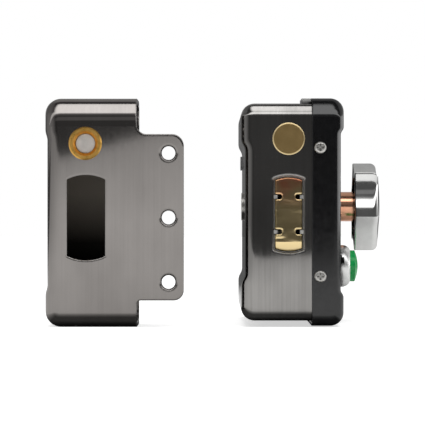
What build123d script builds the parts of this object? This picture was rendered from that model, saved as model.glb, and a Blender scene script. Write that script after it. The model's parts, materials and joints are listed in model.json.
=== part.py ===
from build123d import *
from math import acos, asin, cos, pi, radians, sin, sqrt, tan
import os

# A motorized rim lock and the strike that its bolt shoots into, standing side by side.
# Millimetres. Origin: centre of the four door bolts, on the plane of the raised pads that meet the door.
# +X runs from the door into the room, +Y from the bolt edge towards the back, +Z up.
# The bolt stands drawn in, which is the rest position of every moving piece.

# Shared values
overrun = 2.0  # how far a cut runs past the face that it opens
near = 0.01  # how close an edge must lie to the place where it is looked for
fit_gap = 0.05  # radial gap between a fixed piece and the hole that it sits in
running_gap = 0.06  # radial gap of a shaft in its bush
slide_gap = 0.12  # gap on each side of a sliding piece
arc_share = 0.5  # the middle of an arc, as a share of its angle

# Lock case: a tray of sheet steel, open towards the room
case_half_height = 47.8
case_half_length = 58.0
case_reach = 38.0
case_wall = 1.5
case_corner = 6.0
case_rounding = 4.8
case_step = 1.75
case_bend = 5.6
case_pad_length = 15.2

# Lock cover: a shallower tray that slips over the case, open towards the door
cover_gap = 0.7  # between the cover's inside and the case
cover_edge_x = 31.1
cover_face_x = 45.2
cover_wall = 1.5
cover_corner = 6.0
cover_rounding = 5.0
cover_step = 1.3
cover_bend = 3.1
cover_pad_length = 12.4
tongue_reach = 4.3
tongue_length = 24.0
tongue_setback = 6.2

# Cover screws and the clinch nuts that they run into
cover_screw_z = 28.2
cover_screw_inset = 3.6
cover_screw_radius = 1.5
cover_screw_hole = 1.7
cover_screw_head_radius = 2.7
cover_screw_head_height = 1.9
cover_screw_head_round = 1.2
cross_length = 3.0
cross_width = 0.7
cross_depth = 1.0
clinch_nut_radius = 3.0
clinch_nut_length = 4.0

# Tapped posts that take the door bolts
door_bolt_span = 84.0
door_bolt_inset = 10.7
post_radius = 4.4
post_bore = 2.5
post_length = 12.0
door_bolt_hole = 2.75

# Bolt and the opening that it comes out of
bolt_x = 20.94
bolt_z = -1.0
bolt_width = 12.06
bolt_diameter = 32.6
bolt_length = 40.0
bolt_setback = 0.3
bolt_edge_break = 0.5
bolt_throw = 16.0
groove_rise = 7.7
groove_height = 2.3
groove_depth = 3.06
groove_corner = 0.8
opening_margin = 0.6
opening_break = 0.4

# Guide frame behind the opening
guide_width = 22.0
guide_height = 43.0
guide_thickness = 3.0
guide_corner = 3.0
guide_tongue_height = 1.6
guide_tongue_reach = 1.05
guide_tongue_setback = 0.25

# Bolt tail with its rack
tail_width = 8.0
tail_tongue_width = 4.0
tail_tongue_length = 14.0
tail_back_y = 28.0
tail_bottom_z = -11.5
tail_tongue_top_z = 4.0
tail_shoulder = 8.6
bolt_pin_radius = 1.5
bolt_pin_low = 3.5
bolt_pin_high = 2.5
bolt_pin_setback = 7.0

# Spindle that the knob turns, and the gears on it
spindle_y = 2.0
spindle_z = 2.5
spindle_start_x = 1.2
spindle_radius = 4.5
sleeve_radius = 6.8
sleeve_end_x = 56.0
stub_radius = 4.0
stub_end_x = 61.6
tail_slot_width = 2.6
tail_slot_height = 7.0
tail_slot_depth = 15.0
tooth_module = 1.0
pressure_angle = 20.0
tooth_top = 0.8
tooth_root = 1.05
tooth_slack = 0.16
tooth_bury = 0.3
pinion_teeth = 14
pinion_width = 7.0
gear_teeth = 30
gear_x = 28.0
gear_width = 5.0
gear_hub_radius = 6.2
gear_web = 2.4
gear_web_inner = 6.8
gear_web_outer = 12.6
clip_gap = 0.3
clip_thickness = 1.0
clip_radius = 7.4
clip_groove = 0.6
clip_mouth = 6.0

# Spindle bushes
door_bush_radius = 6.35
door_bush_proud = 0.9
door_bush_flange = 9.0
door_bush_flange_thickness = 1.6
cover_bush_radius = 8.3
cover_bush_flange = 10.6
cover_bush_flange_thickness = 2.0

# Knob
knob_back_x = 52.5
knob_thickness = 12.0
knob_radius = 21.85
knob_lobes = 6
knob_flute_depth = 5.05
knob_flute_turn = 17.0
knob_crest_round = 1.4
knob_wall = 2.0
knob_front_wall = 2.9
knob_dome = 1.3
knob_flat = 3.0
knob_rim_round = 2.0
knob_hub_radius = 8.0
knob_screw_radius = 1.6

# Drive: worm gearbox, its output shaft and pinion, and the motor
drive_teeth = 12
drive_turn = 45.0
drive_gap = 1.5
drive_width = 6.0
shaft_radius = 2.5
shaft_flat = 0.5
shaft_depth = 6.0
shaft_stand = 1.0
gearbox_length = 24.5
gearbox_headroom = 2.8
gearbox_front_y = 9.5
gearbox_bottom_z = 9.5
gearbox_depth = 18.25
gearbox_lid = 2.5
gearbox_round = 2.0
gearbox_screw_inset = 3.4
gearbox_screw_radius = 1.0
gearbox_screw_head = 1.9
gearbox_screw_head_height = 1.2
gearbox_screw_length = 8.0
motor_x = 16.0
motor_drop = 10.4
motor_radius = 10.0
motor_length = 28.0
motor_round = 1.2
motor_boss_radius = 3.4
motor_boss_length = 2.0
motor_lug_width = 2.6
motor_lug_length = 3.6
motor_lug_thickness = 0.6
motor_lug_rise = 6.4

# Bracket that carries the gearbox and the motor on the door wall
bracket_thickness = 2.0
bracket_front_y = -18.0
bracket_back_y = 38.6
bracket_bottom_z = 13.2
bracket_headroom = 3.8
bracket_corner = 2.5
saddle_front_y = -14.0
saddle_length = 10.0
saddle_height = 15.0
saddle_rise = 4.0
bracket_post_gap = 0.6
bracket_screw_inset = 2.4
bracket_screw_rise = 5.0
bracket_screw_radius = 1.25
bracket_screw_head = 2.1
bracket_screw_head_height = 1.5

# Tail guide and the limit switches under it
shelf_front_y = -6.0
shelf_back_y = 29.4
shelf_thickness = 1.5
shelf_foot = 5.0
lip_height = 3.0
lip_thickness = 1.2
switch_length = 12.8
switch_width = 6.0
switch_height = 5.6
switch_front_y = 0.5
switch_pitch = 15.0
switch_nub_radius = 0.9
switch_nub_hole = 1.2
switch_nub_gap = 0.3

# Control board on its standoffs
board_lift = 3.75
board_thickness = 1.6
board_half_length = 36.0
board_height = 23.6
board_clearance = 4.8
board_corner = 1.5
standoff_inset = 3.6
standoff_radius = 2.6
board_screw_radius = 1.25
board_screw_head = 2.2
board_screw_head_height = 1.4
board_screw_length = 3.2
terminal_y = 21.0
terminal_length = 15.0
terminal_height = 8.0
terminal_depth = 10.0
terminal_ways = 3
terminal_screw_radius = 1.6
terminal_screw_depth = 2.0
terminal_mouth = 3.2
terminal_mouth_depth = 2.5
relay_y = -17.0
relay_length = 19.0
relay_height = 15.0
relay_depth = 15.4
relay_round = 0.8
part_inset = 1.0

# Button: bezel, nut, cap, spring and contact block
button_y = -15.0
button_z = -24.5
barrel_radius = 8.0
barrel_start_x = 30.0
bezel_radius = 9.2
bezel_front_radius = 7.6
bezel_front_x = 49.9
bezel_swell = 0.8
bezel_skirt = 0.8
bezel_notch_width = 4.4
bezel_notch_depth = 2.2
bezel_notch_bite = 1.4
bezel_notch_turn = 160.0
cap_radius = 7.1
cap_front_x = 53.6
cap_crown = 1.5
cap_back_x = 45.0
cap_travel = 2.5
stem_radius = 3.0
stem_back_x = 36.0
stem_foot_radius = 4.0
stem_foot_length = 1.0
bezel_floor_x = 38.5
bezel_floor = 2.0
barrel_bore = 6.5
nut_thickness = 2.2
nut_across = 19.0
contact_length = 5.0
contact_width = 11.0
contact_plunger_radius = 1.8
contact_plunger_gap = 0.4
spring_wire = 0.7
spring_radius = 4.8
spring_turns = 3.5
spring_seat_gap = 0.1

# Sensor cap above the bolt
sensor_rise = 33.15
sensor_radius = 7.1
sensor_thickness = 0.8
sensor_bevel = 0.7
sensor_barrel_radius = 5.8
sensor_barrel_length = 8.0
sensor_nut_across = 14.6
sensor_nut_thickness = 2.6
sensor_board_width = 14.0
sensor_board_height = 15.0
sensor_board_thickness = 1.6

# Cable grommet in the door wall
grommet_y = 44.0
grommet_drop = 9.4
grommet_radius = 3.3
grommet_inner_radius = 3.3
grommet_waist = 2.6
grommet_bore = 1.7
grommet_proud = 0.9
grommet_lip = 1.0

# Strike: an open-sided box with a screw tab
strike_gap = 45.8
strike_reach = 40.4
strike_half_height = 50.3
strike_z = -0.3
strike_depth = 42.0
strike_wall = 2.0
strike_corner = 7.0
strike_rounding = 6.5
strike_step = 0.9
strike_bend = 8.0
strike_pad_length = 13.5
strike_mouth_x = 18.2
strike_mouth_drop = 2.2
strike_mouth_width = 16.8
strike_mouth_diameter = 37.5
tab_reach = 61.1
tab_top_z = 34.5
tab_bottom_z = -38.5
tab_root = 6.0
tab_margin = 5.5
tab_top_corner = 5.2
tab_bottom_corner = 4.4
tab_root_top = 4.4
tab_root_bottom = 1.8
tab_hole_inset = 6.7
tab_hole_drop = 2.1
tab_hole_pitch = 28.3
tab_hole_radius = 3.0
tab_sink_radius = 3.8
tab_sink_depth = 0.8
tab_holes = 3

# Brass ring in the strike and the magnet set back inside it
ring_x = 17.9
ring_drop = 19.9
ring_radius = 7.3
ring_thickness = 0.9
ring_bevel = 0.6
ring_mouth = 5.5
ring_bore = 4.4
ring_barrel_radius = 5.9
ring_barrel_length = 8.0
ring_cone_depth = 1.2
magnet_radius = 4.2
magnet_setback = 1.9
magnet_length = 4.0
magnet_cup_wall = 1.0
magnet_cup_length = 7.2

# Places worked out from the sizes above
edge_y = -case_half_length
case_pad_end = case_half_height - case_pad_length
grommet_z = case_pad_end - grommet_drop
cover_half_height = case_half_height + cover_wall + cover_gap
cover_half_length = case_half_length + cover_wall + cover_gap
cover_pad_end = cover_half_height - cover_pad_length
inner_edge_y = edge_y + case_wall
pad_inner_x = case_wall
sunken_inner_x = case_step + case_wall
sunken_outer_x = case_step
cover_inner_x = cover_face_x - cover_step - cover_wall
cover_sunken_x = cover_face_x - cover_step
bolt_front_y = edge_y + bolt_setback
bolt_back_y = bolt_front_y + bolt_length
pinion_pitch_radius = tooth_module * pinion_teeth / 2
gear_pitch_radius = tooth_module * gear_teeth / 2
drive_pitch_radius = tooth_module * drive_teeth / 2
centre_distance = gear_pitch_radius + drive_pitch_radius
drive_y = spindle_y + centre_distance * cos(radians(drive_turn))
drive_z = spindle_z + centre_distance * sin(radians(drive_turn))
rack_pitch_z = spindle_z - pinion_pitch_radius
gearbox_start_x = sunken_inner_x + bracket_thickness
gearbox_top_z = case_half_height - gearbox_headroom
motor_z = gearbox_top_z - motor_drop
bracket_top_z = case_half_height - bracket_headroom
gearbox_front_x = gearbox_start_x + gearbox_depth + gearbox_lid
gearbox_back_y = gearbox_front_y + gearbox_length
board_x = sunken_inner_x + board_lift
board_front_x = board_x + board_thickness
board_bottom_z = board_clearance - case_half_height
board_top_z = board_bottom_z + board_height
shelf_top_z = tail_bottom_z - slide_gap
strike_x = -strike_reach - strike_gap
strike_half_depth = strike_depth / 2
strike_pad_end = strike_half_height - strike_pad_length
ring_rise = strike_half_height - ring_drop
tab_hole_x = tab_reach - tab_hole_inset
strike_y = edge_y + strike_half_depth


def toward_room(x, y, z):
    """Plane that faces +X, with its own x along +Y and its own y along +Z."""
    return Plane(origin=(x, y, z), x_dir=(0, 1, 0), z_dir=(1, 0, 0))


def out_of_edge(x, y, z):
    """Plane that faces -Y, out of the bolt edge, with its own x along +X and its own y along +Z."""
    return Plane(origin=(x, y, z), x_dir=(1, 0, 0), z_dir=(0, -1, 0))


def out_of_back(x, y, z):
    """Plane that faces +Y, out of the back, with its own y along +Z."""
    return Plane(origin=(x, y, z), x_dir=(-1, 0, 0), z_dir=(0, 1, 0))


def turned(plane, *outline):
    """Solid of revolution about the plane's normal. Outline points are (radius, height)."""
    profile = make_face(Polyline(*outline, close=True))
    return plane * revolve(Plane.XZ * profile, axis=Axis.Z)


def rod(plane, radius, length):
    """Round bar that stands on the plane."""
    return plane * extrude(Circle(radius), amount=length)


def crown(radius, low, high, flat=0.0):
    """Domed top of a turned outline: an arc that starts level at the radius flat and falls to low."""
    return TangentArc((flat, high), (radius, low), tangent=(1, 0))


def block(low, high):
    """Box between two opposite corners."""
    size = [b - a for a, b in zip(low, high)]
    middle = [(a + b) / 2 for a, b in zip(low, high)]
    return Pos(*middle) * Box(*size)


def pan_screw(plane, shank, length, head, height, head_round=0.0):
    """Screw with its head standing on the plane and its shank going in behind it."""
    shaft = ((0, -length), (shank, -length), (shank, 0))
    body = turned(plane, *shaft, (head, 0), (head, height), (0, height))
    if head_round > 0:
        axis = Axis(plane.origin, plane.z_dir)
        body = fillet(body.edges().sort_by(axis)[-1:], head_round)
    return body


def arched_slot(diameter, width):
    """Flat-sided slot with arched ends: a disc cut off at both sides."""
    return Circle(diameter / 2) & Rectangle(width, diameter)


def ogee_outline(reach, half_height, corner, step, bend, pad_end, inset=0.0):
    """Side view of a pressed tray: pads at both ends of its floor and an S-bend to a sunken middle.

    The pads lie on x = 0 and the tray is open at x = reach. An S-bend is two equal arcs of radius
    bend, so its run r and its step s follow r * r = s * (4 * bend - s). Inset draws all of it in.
    """
    run = sqrt(step * (4 * bend - step))
    lean = asin(run / (2 * bend))
    half_lean = lean * arc_share
    eighth = radians(45)
    outer = bend - inset
    inner = bend + inset
    top = half_height - inset
    turn = corner - inset
    lines = []
    for side in (1, -1):
        open_end = (reach, side * top)
        corner_start = (corner, side * top)
        corner_middle = (corner - turn * cos(eighth), side * (half_height - corner + turn * sin(eighth)))
        corner_end = (inset, side * (half_height - corner))
        pad_stop = (inset, side * pad_end)
        first_middle = (bend - outer * cos(half_lean), side * (pad_end - outer * sin(half_lean)))
        change = (bend - outer * cos(lean), side * (pad_end - outer * sin(lean)))
        second_middle = (
            step - bend + inner * cos(half_lean),
            side * (pad_end - run + inner * sin(half_lean)),
        )
        sunken = (step + inset, side * (pad_end - run))
        lines += [
            Line(open_end, corner_start),
            ThreePointArc(corner_start, corner_middle, corner_end),
            Line(corner_end, pad_stop),
            ThreePointArc(pad_stop, first_middle, change),
            ThreePointArc(change, second_middle, sunken),
        ]
    lines += [
        Line((step + inset, pad_end - run), (step + inset, run - pad_end)),
        Line((reach, top), (reach, -top)),
    ]
    return make_face(lines)


def rounded_form(outline, half_length, rounding, open_at):
    """Solid over the outline, with its two long rims rounded except along the open side."""
    form = extrude(Plane.XZ * outline, amount=half_length, both=True)
    rims = ShapeList(
        edge
        for edge in form.edges()
        if abs(abs(edge.center().Y) - half_length) < near and edge.center().X < open_at - near
    )
    return fillet(rims, rounding)


def pressed_tray(reach, half_height, half_length, wall, rounding, corner, step, bend, pad_end):
    """Sheet tray with an even wall, its open side at x = reach."""
    bends = {"corner": corner, "step": step, "bend": bend, "pad_end": pad_end}
    outside = ogee_outline(reach, half_height, **bends)
    inside = ogee_outline(reach + overrun, half_height, inset=wall, **bends)
    shell = rounded_form(outside, half_length, rounding, reach)
    return shell - rounded_form(inside, half_length - wall, rounding - wall, reach + overrun)


def cover_screw_places():
    """Planes on the cover's two narrow walls, with their normals pointing out."""
    x = cover_edge_x + cover_screw_inset
    for z in (cover_screw_z, -cover_screw_z):
        yield out_of_edge(x, -cover_half_length, z)
        yield out_of_back(x, cover_half_length, z)


def door_bolt_places():
    """Y and Z of the four door bolts."""
    for y in (-door_bolt_span / 2, door_bolt_span / 2):
        for z in (door_bolt_inset - case_half_height, case_half_height - door_bolt_inset):
            yield y, z


def make_case():
    """Tray with the bolt opening and the holes for what passes through it."""
    case = pressed_tray(
        case_reach, case_half_height, case_half_length, case_wall, case_rounding,
        case_corner, case_step, case_bend, case_pad_end,
    )
    case -= opening_cut()
    sensor = out_of_edge(bolt_x, inner_edge_y + overrun, bolt_z + sensor_rise)
    case -= rod(sensor, sensor_barrel_radius + fit_gap, case_wall + 2 * overrun)
    through = sunken_inner_x + 2 * overrun
    case -= rod(toward_room(-overrun, spindle_y, spindle_z), door_bush_radius + fit_gap, through)
    case -= rod(toward_room(-overrun, grommet_y, grommet_z), grommet_waist + fit_gap, through)
    for y, z in door_bolt_places():
        case -= rod(toward_room(-overrun, y, z), door_bolt_hole, pad_inner_x + 2 * overrun)
    for place in cover_screw_places():
        depth = cover_half_length - case_half_length + case_wall + overrun
        case -= place * Pos(0, 0, -depth) * extrude(Circle(cover_screw_hole), amount=depth)
    return case


def opening_cut():
    """Arched opening through the bolt edge, with its outer edge broken."""
    diameter = bolt_diameter + 2 * opening_margin
    width = bolt_width + 2 * opening_margin
    mouth = arched_slot(diameter, width)
    inside = out_of_edge(bolt_x, inner_edge_y + overrun, bolt_z)
    hole = inside * extrude(mouth, amount=case_wall + 2 * overrun)
    flare = arched_slot(diameter + 2 * opening_break, width + 2 * opening_break)
    face = out_of_edge(bolt_x, edge_y, bolt_z)
    bevel = loft([face * flare, face.offset(-opening_break) * mouth])
    return hole + bevel


def make_cover():
    """Room-side tray with the spindle and button holes and the tongue over the case's top."""
    tray = pressed_tray(
        cover_face_x - cover_edge_x, cover_half_height, cover_half_length, cover_wall, cover_rounding,
        cover_corner, cover_step, cover_bend, cover_pad_end,
    )
    cover = Pos(cover_face_x, 0, 0) * Rot(0, 0, 180) * tray
    tongue_start = -cover_half_length + tongue_setback
    cover += block(
        (cover_edge_x - tongue_reach, tongue_start, cover_half_height - cover_wall),
        (cover_edge_x, tongue_start + tongue_length, cover_half_height),
    )
    start = cover_inner_x - overrun
    through = cover_step + cover_wall + 2 * overrun
    cover -= rod(toward_room(start, spindle_y, spindle_z), cover_bush_radius + fit_gap, through)
    cover -= rod(toward_room(start, button_y, button_z), barrel_radius + fit_gap, through)
    for place in cover_screw_places():
        depth = cover_wall + overrun
        cover -= place * Pos(0, 0, -depth) * extrude(Circle(cover_screw_hole), amount=depth + overrun)
    return cover


def make_cover_screws():
    """Four pan-head screws with a cross recess each."""
    shank = cover_half_length - case_half_length + case_wall + clinch_nut_length
    screws = []
    for place in cover_screw_places():
        screw = pan_screw(
            place, cover_screw_radius, shank, cover_screw_head_radius,
            cover_screw_head_height, cover_screw_head_round,
        )
        floor = place * Pos(0, 0, cover_screw_head_height - cross_depth)
        for length, width in ((cross_length, cross_width), (cross_width, cross_length)):
            screw -= floor * extrude(Rectangle(length, width), amount=cross_depth + overrun)
        screws.append(screw)
    return screws


def make_clinch_nuts():
    """Four tapped nuts on the inside of the case's narrow walls."""
    seat = cover_half_length - case_half_length + case_wall + clinch_nut_length
    ring = Circle(clinch_nut_radius) - Circle(cover_screw_radius)
    nut = Pos(0, 0, -seat) * extrude(ring, amount=clinch_nut_length)
    return [place * nut for place in cover_screw_places()]


def make_mounting_posts():
    """Four tapped posts behind the pads."""
    ring = Circle(post_radius) - Circle(post_bore)
    post = extrude(ring, amount=post_length)
    return [toward_room(pad_inner_x, y, z) * post for y, z in door_bolt_places()]


def make_sensor_cap():
    """Brass disc with a bevelled rim, on a barrel that goes through the bolt edge."""
    face = out_of_edge(bolt_x, edge_y, bolt_z + sensor_rise)
    return turned(
        face,
        (0, -sensor_barrel_length),
        (sensor_barrel_radius, -sensor_barrel_length),
        (sensor_barrel_radius, 0),
        (sensor_radius, 0),
        (sensor_radius, sensor_thickness - sensor_bevel / 2),
        (sensor_radius - sensor_bevel, sensor_thickness),
        (0, sensor_thickness),
    )


def make_sensor_nut():
    """Hexagon nut that clamps the sensor cap from inside."""
    hexagon = RegularPolygon(sensor_nut_across / 2, 6, major_radius=False)
    ring = hexagon - Circle(sensor_barrel_radius + fit_gap)
    back = out_of_edge(bolt_x, inner_edge_y + sensor_nut_thickness, bolt_z + sensor_rise)
    return back * extrude(ring, amount=sensor_nut_thickness)


def make_sensor_board():
    """Small board on the back of the sensor cap's barrel."""
    front_y = edge_y + sensor_barrel_length
    back = out_of_edge(bolt_x, front_y + sensor_board_thickness, bolt_z + sensor_rise)
    outline = Rectangle(sensor_board_width, sensor_board_height)
    return back * extrude(outline, amount=sensor_board_thickness)


def make_bolt():
    """Flat-sided bolt with arched top and bottom, two grooves in each side and a slot for its tail."""
    back = out_of_edge(bolt_x, bolt_back_y, bolt_z)
    bolt = back * extrude(arched_slot(bolt_diameter, bolt_width), amount=bolt_length)
    front = ShapeList(edge for edge in bolt.edges() if abs(edge.center().Y - bolt_front_y) < near)
    bolt = chamfer(front, bolt_edge_break)
    groove = RectangleRounded(2 * groove_depth, groove_height, groove_corner)
    for side in (-1, 1):
        for rise in (-groove_rise, groove_rise):
            run = back.offset(-overrun) * Pos(side * bolt_width / 2, rise)
            bolt -= run * extrude(groove, amount=bolt_length + 2 * overrun)
    bolt -= block(
        (bolt_x - tail_tongue_width / 2, bolt_back_y - tail_tongue_length, tail_bottom_z),
        (bolt_x + tail_tongue_width / 2, bolt_back_y + overrun, tail_tongue_top_z),
    )
    for pin in bolt_pin_places():
        bolt -= rod(pin.offset(-overrun), bolt_pin_radius, bolt_width + 2 * overrun)
    return bolt


def bolt_pin_places():
    """Planes on the bolt's door side, where the two cross pins start."""
    y = bolt_back_y - bolt_pin_setback
    for z in (bolt_z - bolt_pin_low, bolt_z + bolt_pin_high):
        yield toward_room(bolt_x - bolt_width / 2, y, z)


def make_bolt_pins():
    """Two pins that hold the tail in the bolt, flush with its sides."""
    return [rod(pin, bolt_pin_radius, bolt_width) for pin in bolt_pin_places()]


def tail_outline():
    """Side view of the tail in Y and Z, with rack teeth whose gap meets the pinion at rest.

    A tooth is straight-sided at the pressure angle and loses the slack at its pitch line.
    """
    pitch = pi * tooth_module
    flare = tan(radians(pressure_angle))
    half_pitch_width = pitch / 4 - tooth_slack / 2
    tip = half_pitch_width - tooth_top * flare
    foot = half_pitch_width + tooth_root * flare
    top_z = rack_pitch_z + tooth_top
    root_z = rack_pitch_z - tooth_root
    back_count = int((tail_back_y - spindle_y) / pitch - 1)
    front_count = int((spindle_y + tail_shoulder - tooth_module) / pitch)
    points = [
        (tail_back_y, root_z),
        (tail_back_y, tail_bottom_z),
        (bolt_back_y - tail_tongue_length, tail_bottom_z),
        (bolt_back_y - tail_tongue_length, tail_tongue_top_z),
        (-tail_shoulder - tooth_module * 2, tail_tongue_top_z),
        (-tail_shoulder, root_z),
    ]
    for index in range(-front_count, back_count):
        middle = spindle_y + (index + arc_share) * pitch
        points += [(middle - foot, root_z), (middle - tip, top_z)]
        points += [(middle + tip, top_z), (middle + foot, root_z)]
    return Polyline(*points, close=True)


def make_bolt_tail():
    """Steel bar with the rack on top and a thinner tongue that enters the bolt."""
    start = toward_room(bolt_x - tail_width / 2, 0, 0)
    tail = start * extrude(make_face(tail_outline()), amount=tail_width)
    for side in (-1, 1):
        inner = bolt_x + side * tail_tongue_width / 2
        outer = bolt_x + side * (tail_width / 2 + overrun)
        tail -= block(
            (min(inner, outer), bolt_back_y - tail_tongue_length - overrun, tail_bottom_z - overrun),
            (max(inner, outer), bolt_back_y, tail_tongue_top_z + overrun),
        )
    for pin in bolt_pin_places():
        tail -= rod(pin, bolt_pin_radius, bolt_width)
    return tail


def make_bolt_guide():
    """Frame behind the opening, with four tongues that run in the bolt's grooves."""
    back = out_of_edge(bolt_x, inner_edge_y + guide_thickness, bolt_z)
    hole = arched_slot(bolt_diameter + 2 * slide_gap, bolt_width + 2 * slide_gap)
    plate = RectangleRounded(guide_width, guide_height, guide_corner) - hole
    guide = back * extrude(plate, amount=guide_thickness)
    half_width = bolt_width / 2
    for side in (-1, 1):
        inner = bolt_x + side * (half_width - guide_tongue_reach)
        outer = bolt_x + side * (half_width + opening_margin - fit_gap)
        for rise in (-groove_rise, groove_rise):
            guide += block(
                (min(inner, outer), edge_y + guide_tongue_setback, bolt_z + rise - guide_tongue_height / 2),
                (max(inner, outer), inner_edge_y + guide_thickness, bolt_z + rise + guide_tongue_height / 2),
            )
    return guide


def gear_face(teeth, width_turn, bore):
    """Gear outline with a tooth centred on the angle width_turn, its flanks arcs through the involute.

    At radius q the half tooth angle is the pitch value plus inv(a0) - inv(a), where cos(a) = base / q
    and inv(a) = tan(a) - a. Below the base circle the flank runs straight in.
    """
    pitch_radius = tooth_module * teeth / 2
    base_radius = pitch_radius * cos(radians(pressure_angle))
    root_radius = pitch_radius - tooth_root
    tip_radius = pitch_radius + tooth_top
    start_radius = max(base_radius, root_radius)

    def involute(radius):
        angle = acos(min(1.0, base_radius / radius))
        return tan(angle) - angle

    def point(radius, side):
        slack = tooth_slack / (2 * pitch_radius)
        half = pi / (2 * teeth) - slack + involute(pitch_radius) - involute(radius)
        return radius * cos(side * half), radius * sin(side * half)

    def foot(side):
        x, y = point(start_radius, side)
        share = (root_radius - tooth_bury) / start_radius
        return x * share, y * share

    middle_radius = (start_radius + tip_radius) / 2
    tooth = make_face([
        Line(foot(-1), point(start_radius, -1)),
        ThreePointArc(point(start_radius, -1), point(middle_radius, -1), point(tip_radius, -1)),
        Line(point(tip_radius, -1), point(tip_radius, 1)),
        ThreePointArc(point(tip_radius, 1), point(middle_radius, 1), point(start_radius, 1)),
        Line(point(start_radius, 1), foot(1)),
        Line(foot(1), foot(-1)),
    ])
    outline = Circle(root_radius)
    for index in range(teeth):
        outline += Rot(0, 0, width_turn + 360 * index / teeth) * tooth
    return outline - Circle(bore)


def make_spindle():
    """Stepped spindle with a slot for the outside cylinder's tail bar in its door end."""
    gear_end = gear_x + gear_width - spindle_start_x
    sleeve_end = sleeve_end_x - spindle_start_x
    stub_end = stub_end_x - spindle_start_x
    clip_start = clip_x() - spindle_start_x
    clip_floor = spindle_radius - clip_groove
    face = toward_room(spindle_start_x, spindle_y, spindle_z)
    spindle = turned(
        face,
        (0, 0),
        (spindle_radius, 0),
        (spindle_radius, clip_start),
        (clip_floor, clip_start),
        (clip_floor, clip_start + clip_thickness),
        (spindle_radius, clip_start + clip_thickness),
        (spindle_radius, gear_end),
        (sleeve_radius, gear_end),
        (sleeve_radius, sleeve_end),
        (stub_radius, sleeve_end),
        (stub_radius, stub_end),
        (0, stub_end),
    )
    slot = Rectangle(tail_slot_width, tail_slot_height)
    return spindle - face.offset(-overrun) * extrude(slot, amount=tail_slot_depth + overrun)


def clip_x():
    """Door-side face of the spindle clip, just inside the door bush."""
    return sunken_inner_x + door_bush_flange_thickness + clip_gap


def make_spindle_clip():
    """Snap ring in the spindle's groove, open at one side."""
    ring = Circle(clip_radius) - Circle(spindle_radius - clip_groove)
    ring -= Pos(-clip_radius, 0) * Rectangle(2 * clip_radius, clip_mouth)
    return toward_room(clip_x(), spindle_y, spindle_z) * extrude(ring, amount=clip_thickness)


def make_spindle_pinion():
    """Pinion over the rack: a tooth points straight down at rest."""
    face = toward_room(bolt_x - pinion_width / 2, spindle_y, spindle_z)
    return face * extrude(gear_face(pinion_teeth, -90.0, spindle_radius), amount=pinion_width)


def make_spindle_gear():
    """Large gear with a thinned web, and a hub that reaches the pinion."""
    face = toward_room(gear_x, spindle_y, spindle_z)
    gear = face * extrude(gear_face(gear_teeth, drive_turn, spindle_radius), amount=gear_width)
    recess = Circle(gear_web_outer) - Circle(gear_web_inner)
    depth = (gear_width - gear_web) / 2
    gear -= face * extrude(recess, amount=depth)
    gear -= face.offset(gear_width - depth) * extrude(recess, amount=depth)
    hub_start = bolt_x + pinion_width / 2
    hub = Circle(gear_hub_radius) - Circle(spindle_radius)
    return gear + toward_room(hub_start, spindle_y, spindle_z) * extrude(hub, amount=gear_x - hub_start)


def make_drive_shaft():
    """Output shaft of the gearbox, flattened on one side where the pinion sits."""
    start_x = gearbox_front_x - shaft_depth
    length = shaft_depth + drive_gap + drive_width + shaft_stand
    shaft = rod(toward_room(start_x, drive_y, drive_z), shaft_radius, length)
    flat = toward_room(gearbox_front_x + drive_gap, drive_y, drive_z)
    reach = shaft_radius - shaft_flat
    wedge = Pos(reach + shaft_radius, 0) * Rectangle(2 * shaft_radius, 2 * shaft_radius + overrun)
    return shaft - flat * extrude(wedge, amount=drive_width + shaft_stand + overrun)


def make_drive_pinion():
    """Pinion on the output shaft: a gap between two teeth faces the large gear at rest."""
    face = toward_room(gearbox_front_x + drive_gap, drive_y, drive_z)
    outline = gear_face(drive_teeth, drive_turn + 180 + 180 / drive_teeth, shaft_radius)
    reach = shaft_radius - shaft_flat
    key = Circle(shaft_radius) & Pos(reach + shaft_radius, 0) * Rectangle(2 * shaft_radius, 2 * shaft_radius)
    return face * extrude(outline + key, amount=drive_width)


def gearbox_screw_places():
    """Planes on the lid's outside at its four corners."""
    for y in (gearbox_front_y + gearbox_screw_inset, gearbox_back_y - gearbox_screw_inset):
        for z in (gearbox_bottom_z + gearbox_screw_inset, gearbox_top_z - gearbox_screw_inset):
            yield toward_room(gearbox_front_x, y, z)


def gearbox_slab(start_x, thickness):
    """Part of the gearbox's round-cornered block."""
    height = gearbox_top_z - gearbox_bottom_z
    middle_y = gearbox_front_y + gearbox_length / 2
    middle_z = gearbox_bottom_z + height / 2
    outline = RectangleRounded(gearbox_length, height, gearbox_round)
    slab = toward_room(start_x, middle_y, middle_z) * extrude(outline, amount=thickness)
    bore_start = gearbox_front_x - shaft_depth
    slab -= rod(toward_room(bore_start, drive_y, drive_z), shaft_radius + running_gap, shaft_depth + overrun)
    for place in gearbox_screw_places():
        slab -= rod(place.offset(-gearbox_screw_length), gearbox_screw_radius, gearbox_screw_length + overrun)
    return slab


def make_gearbox():
    """Closed gearbox block that holds the worm and its wheel."""
    return gearbox_slab(gearbox_start_x, gearbox_depth)


def make_gearbox_lid():
    """Plate over the gearbox, with the bearing hole of the output shaft."""
    return gearbox_slab(gearbox_start_x + gearbox_depth, gearbox_lid)


def make_gearbox_screws():
    """Four screws in the lid's corners."""
    return [
        pan_screw(
            place, gearbox_screw_radius, gearbox_screw_length,
            gearbox_screw_head, gearbox_screw_head_height,
        )
        for place in gearbox_screw_places()
    ]


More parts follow.
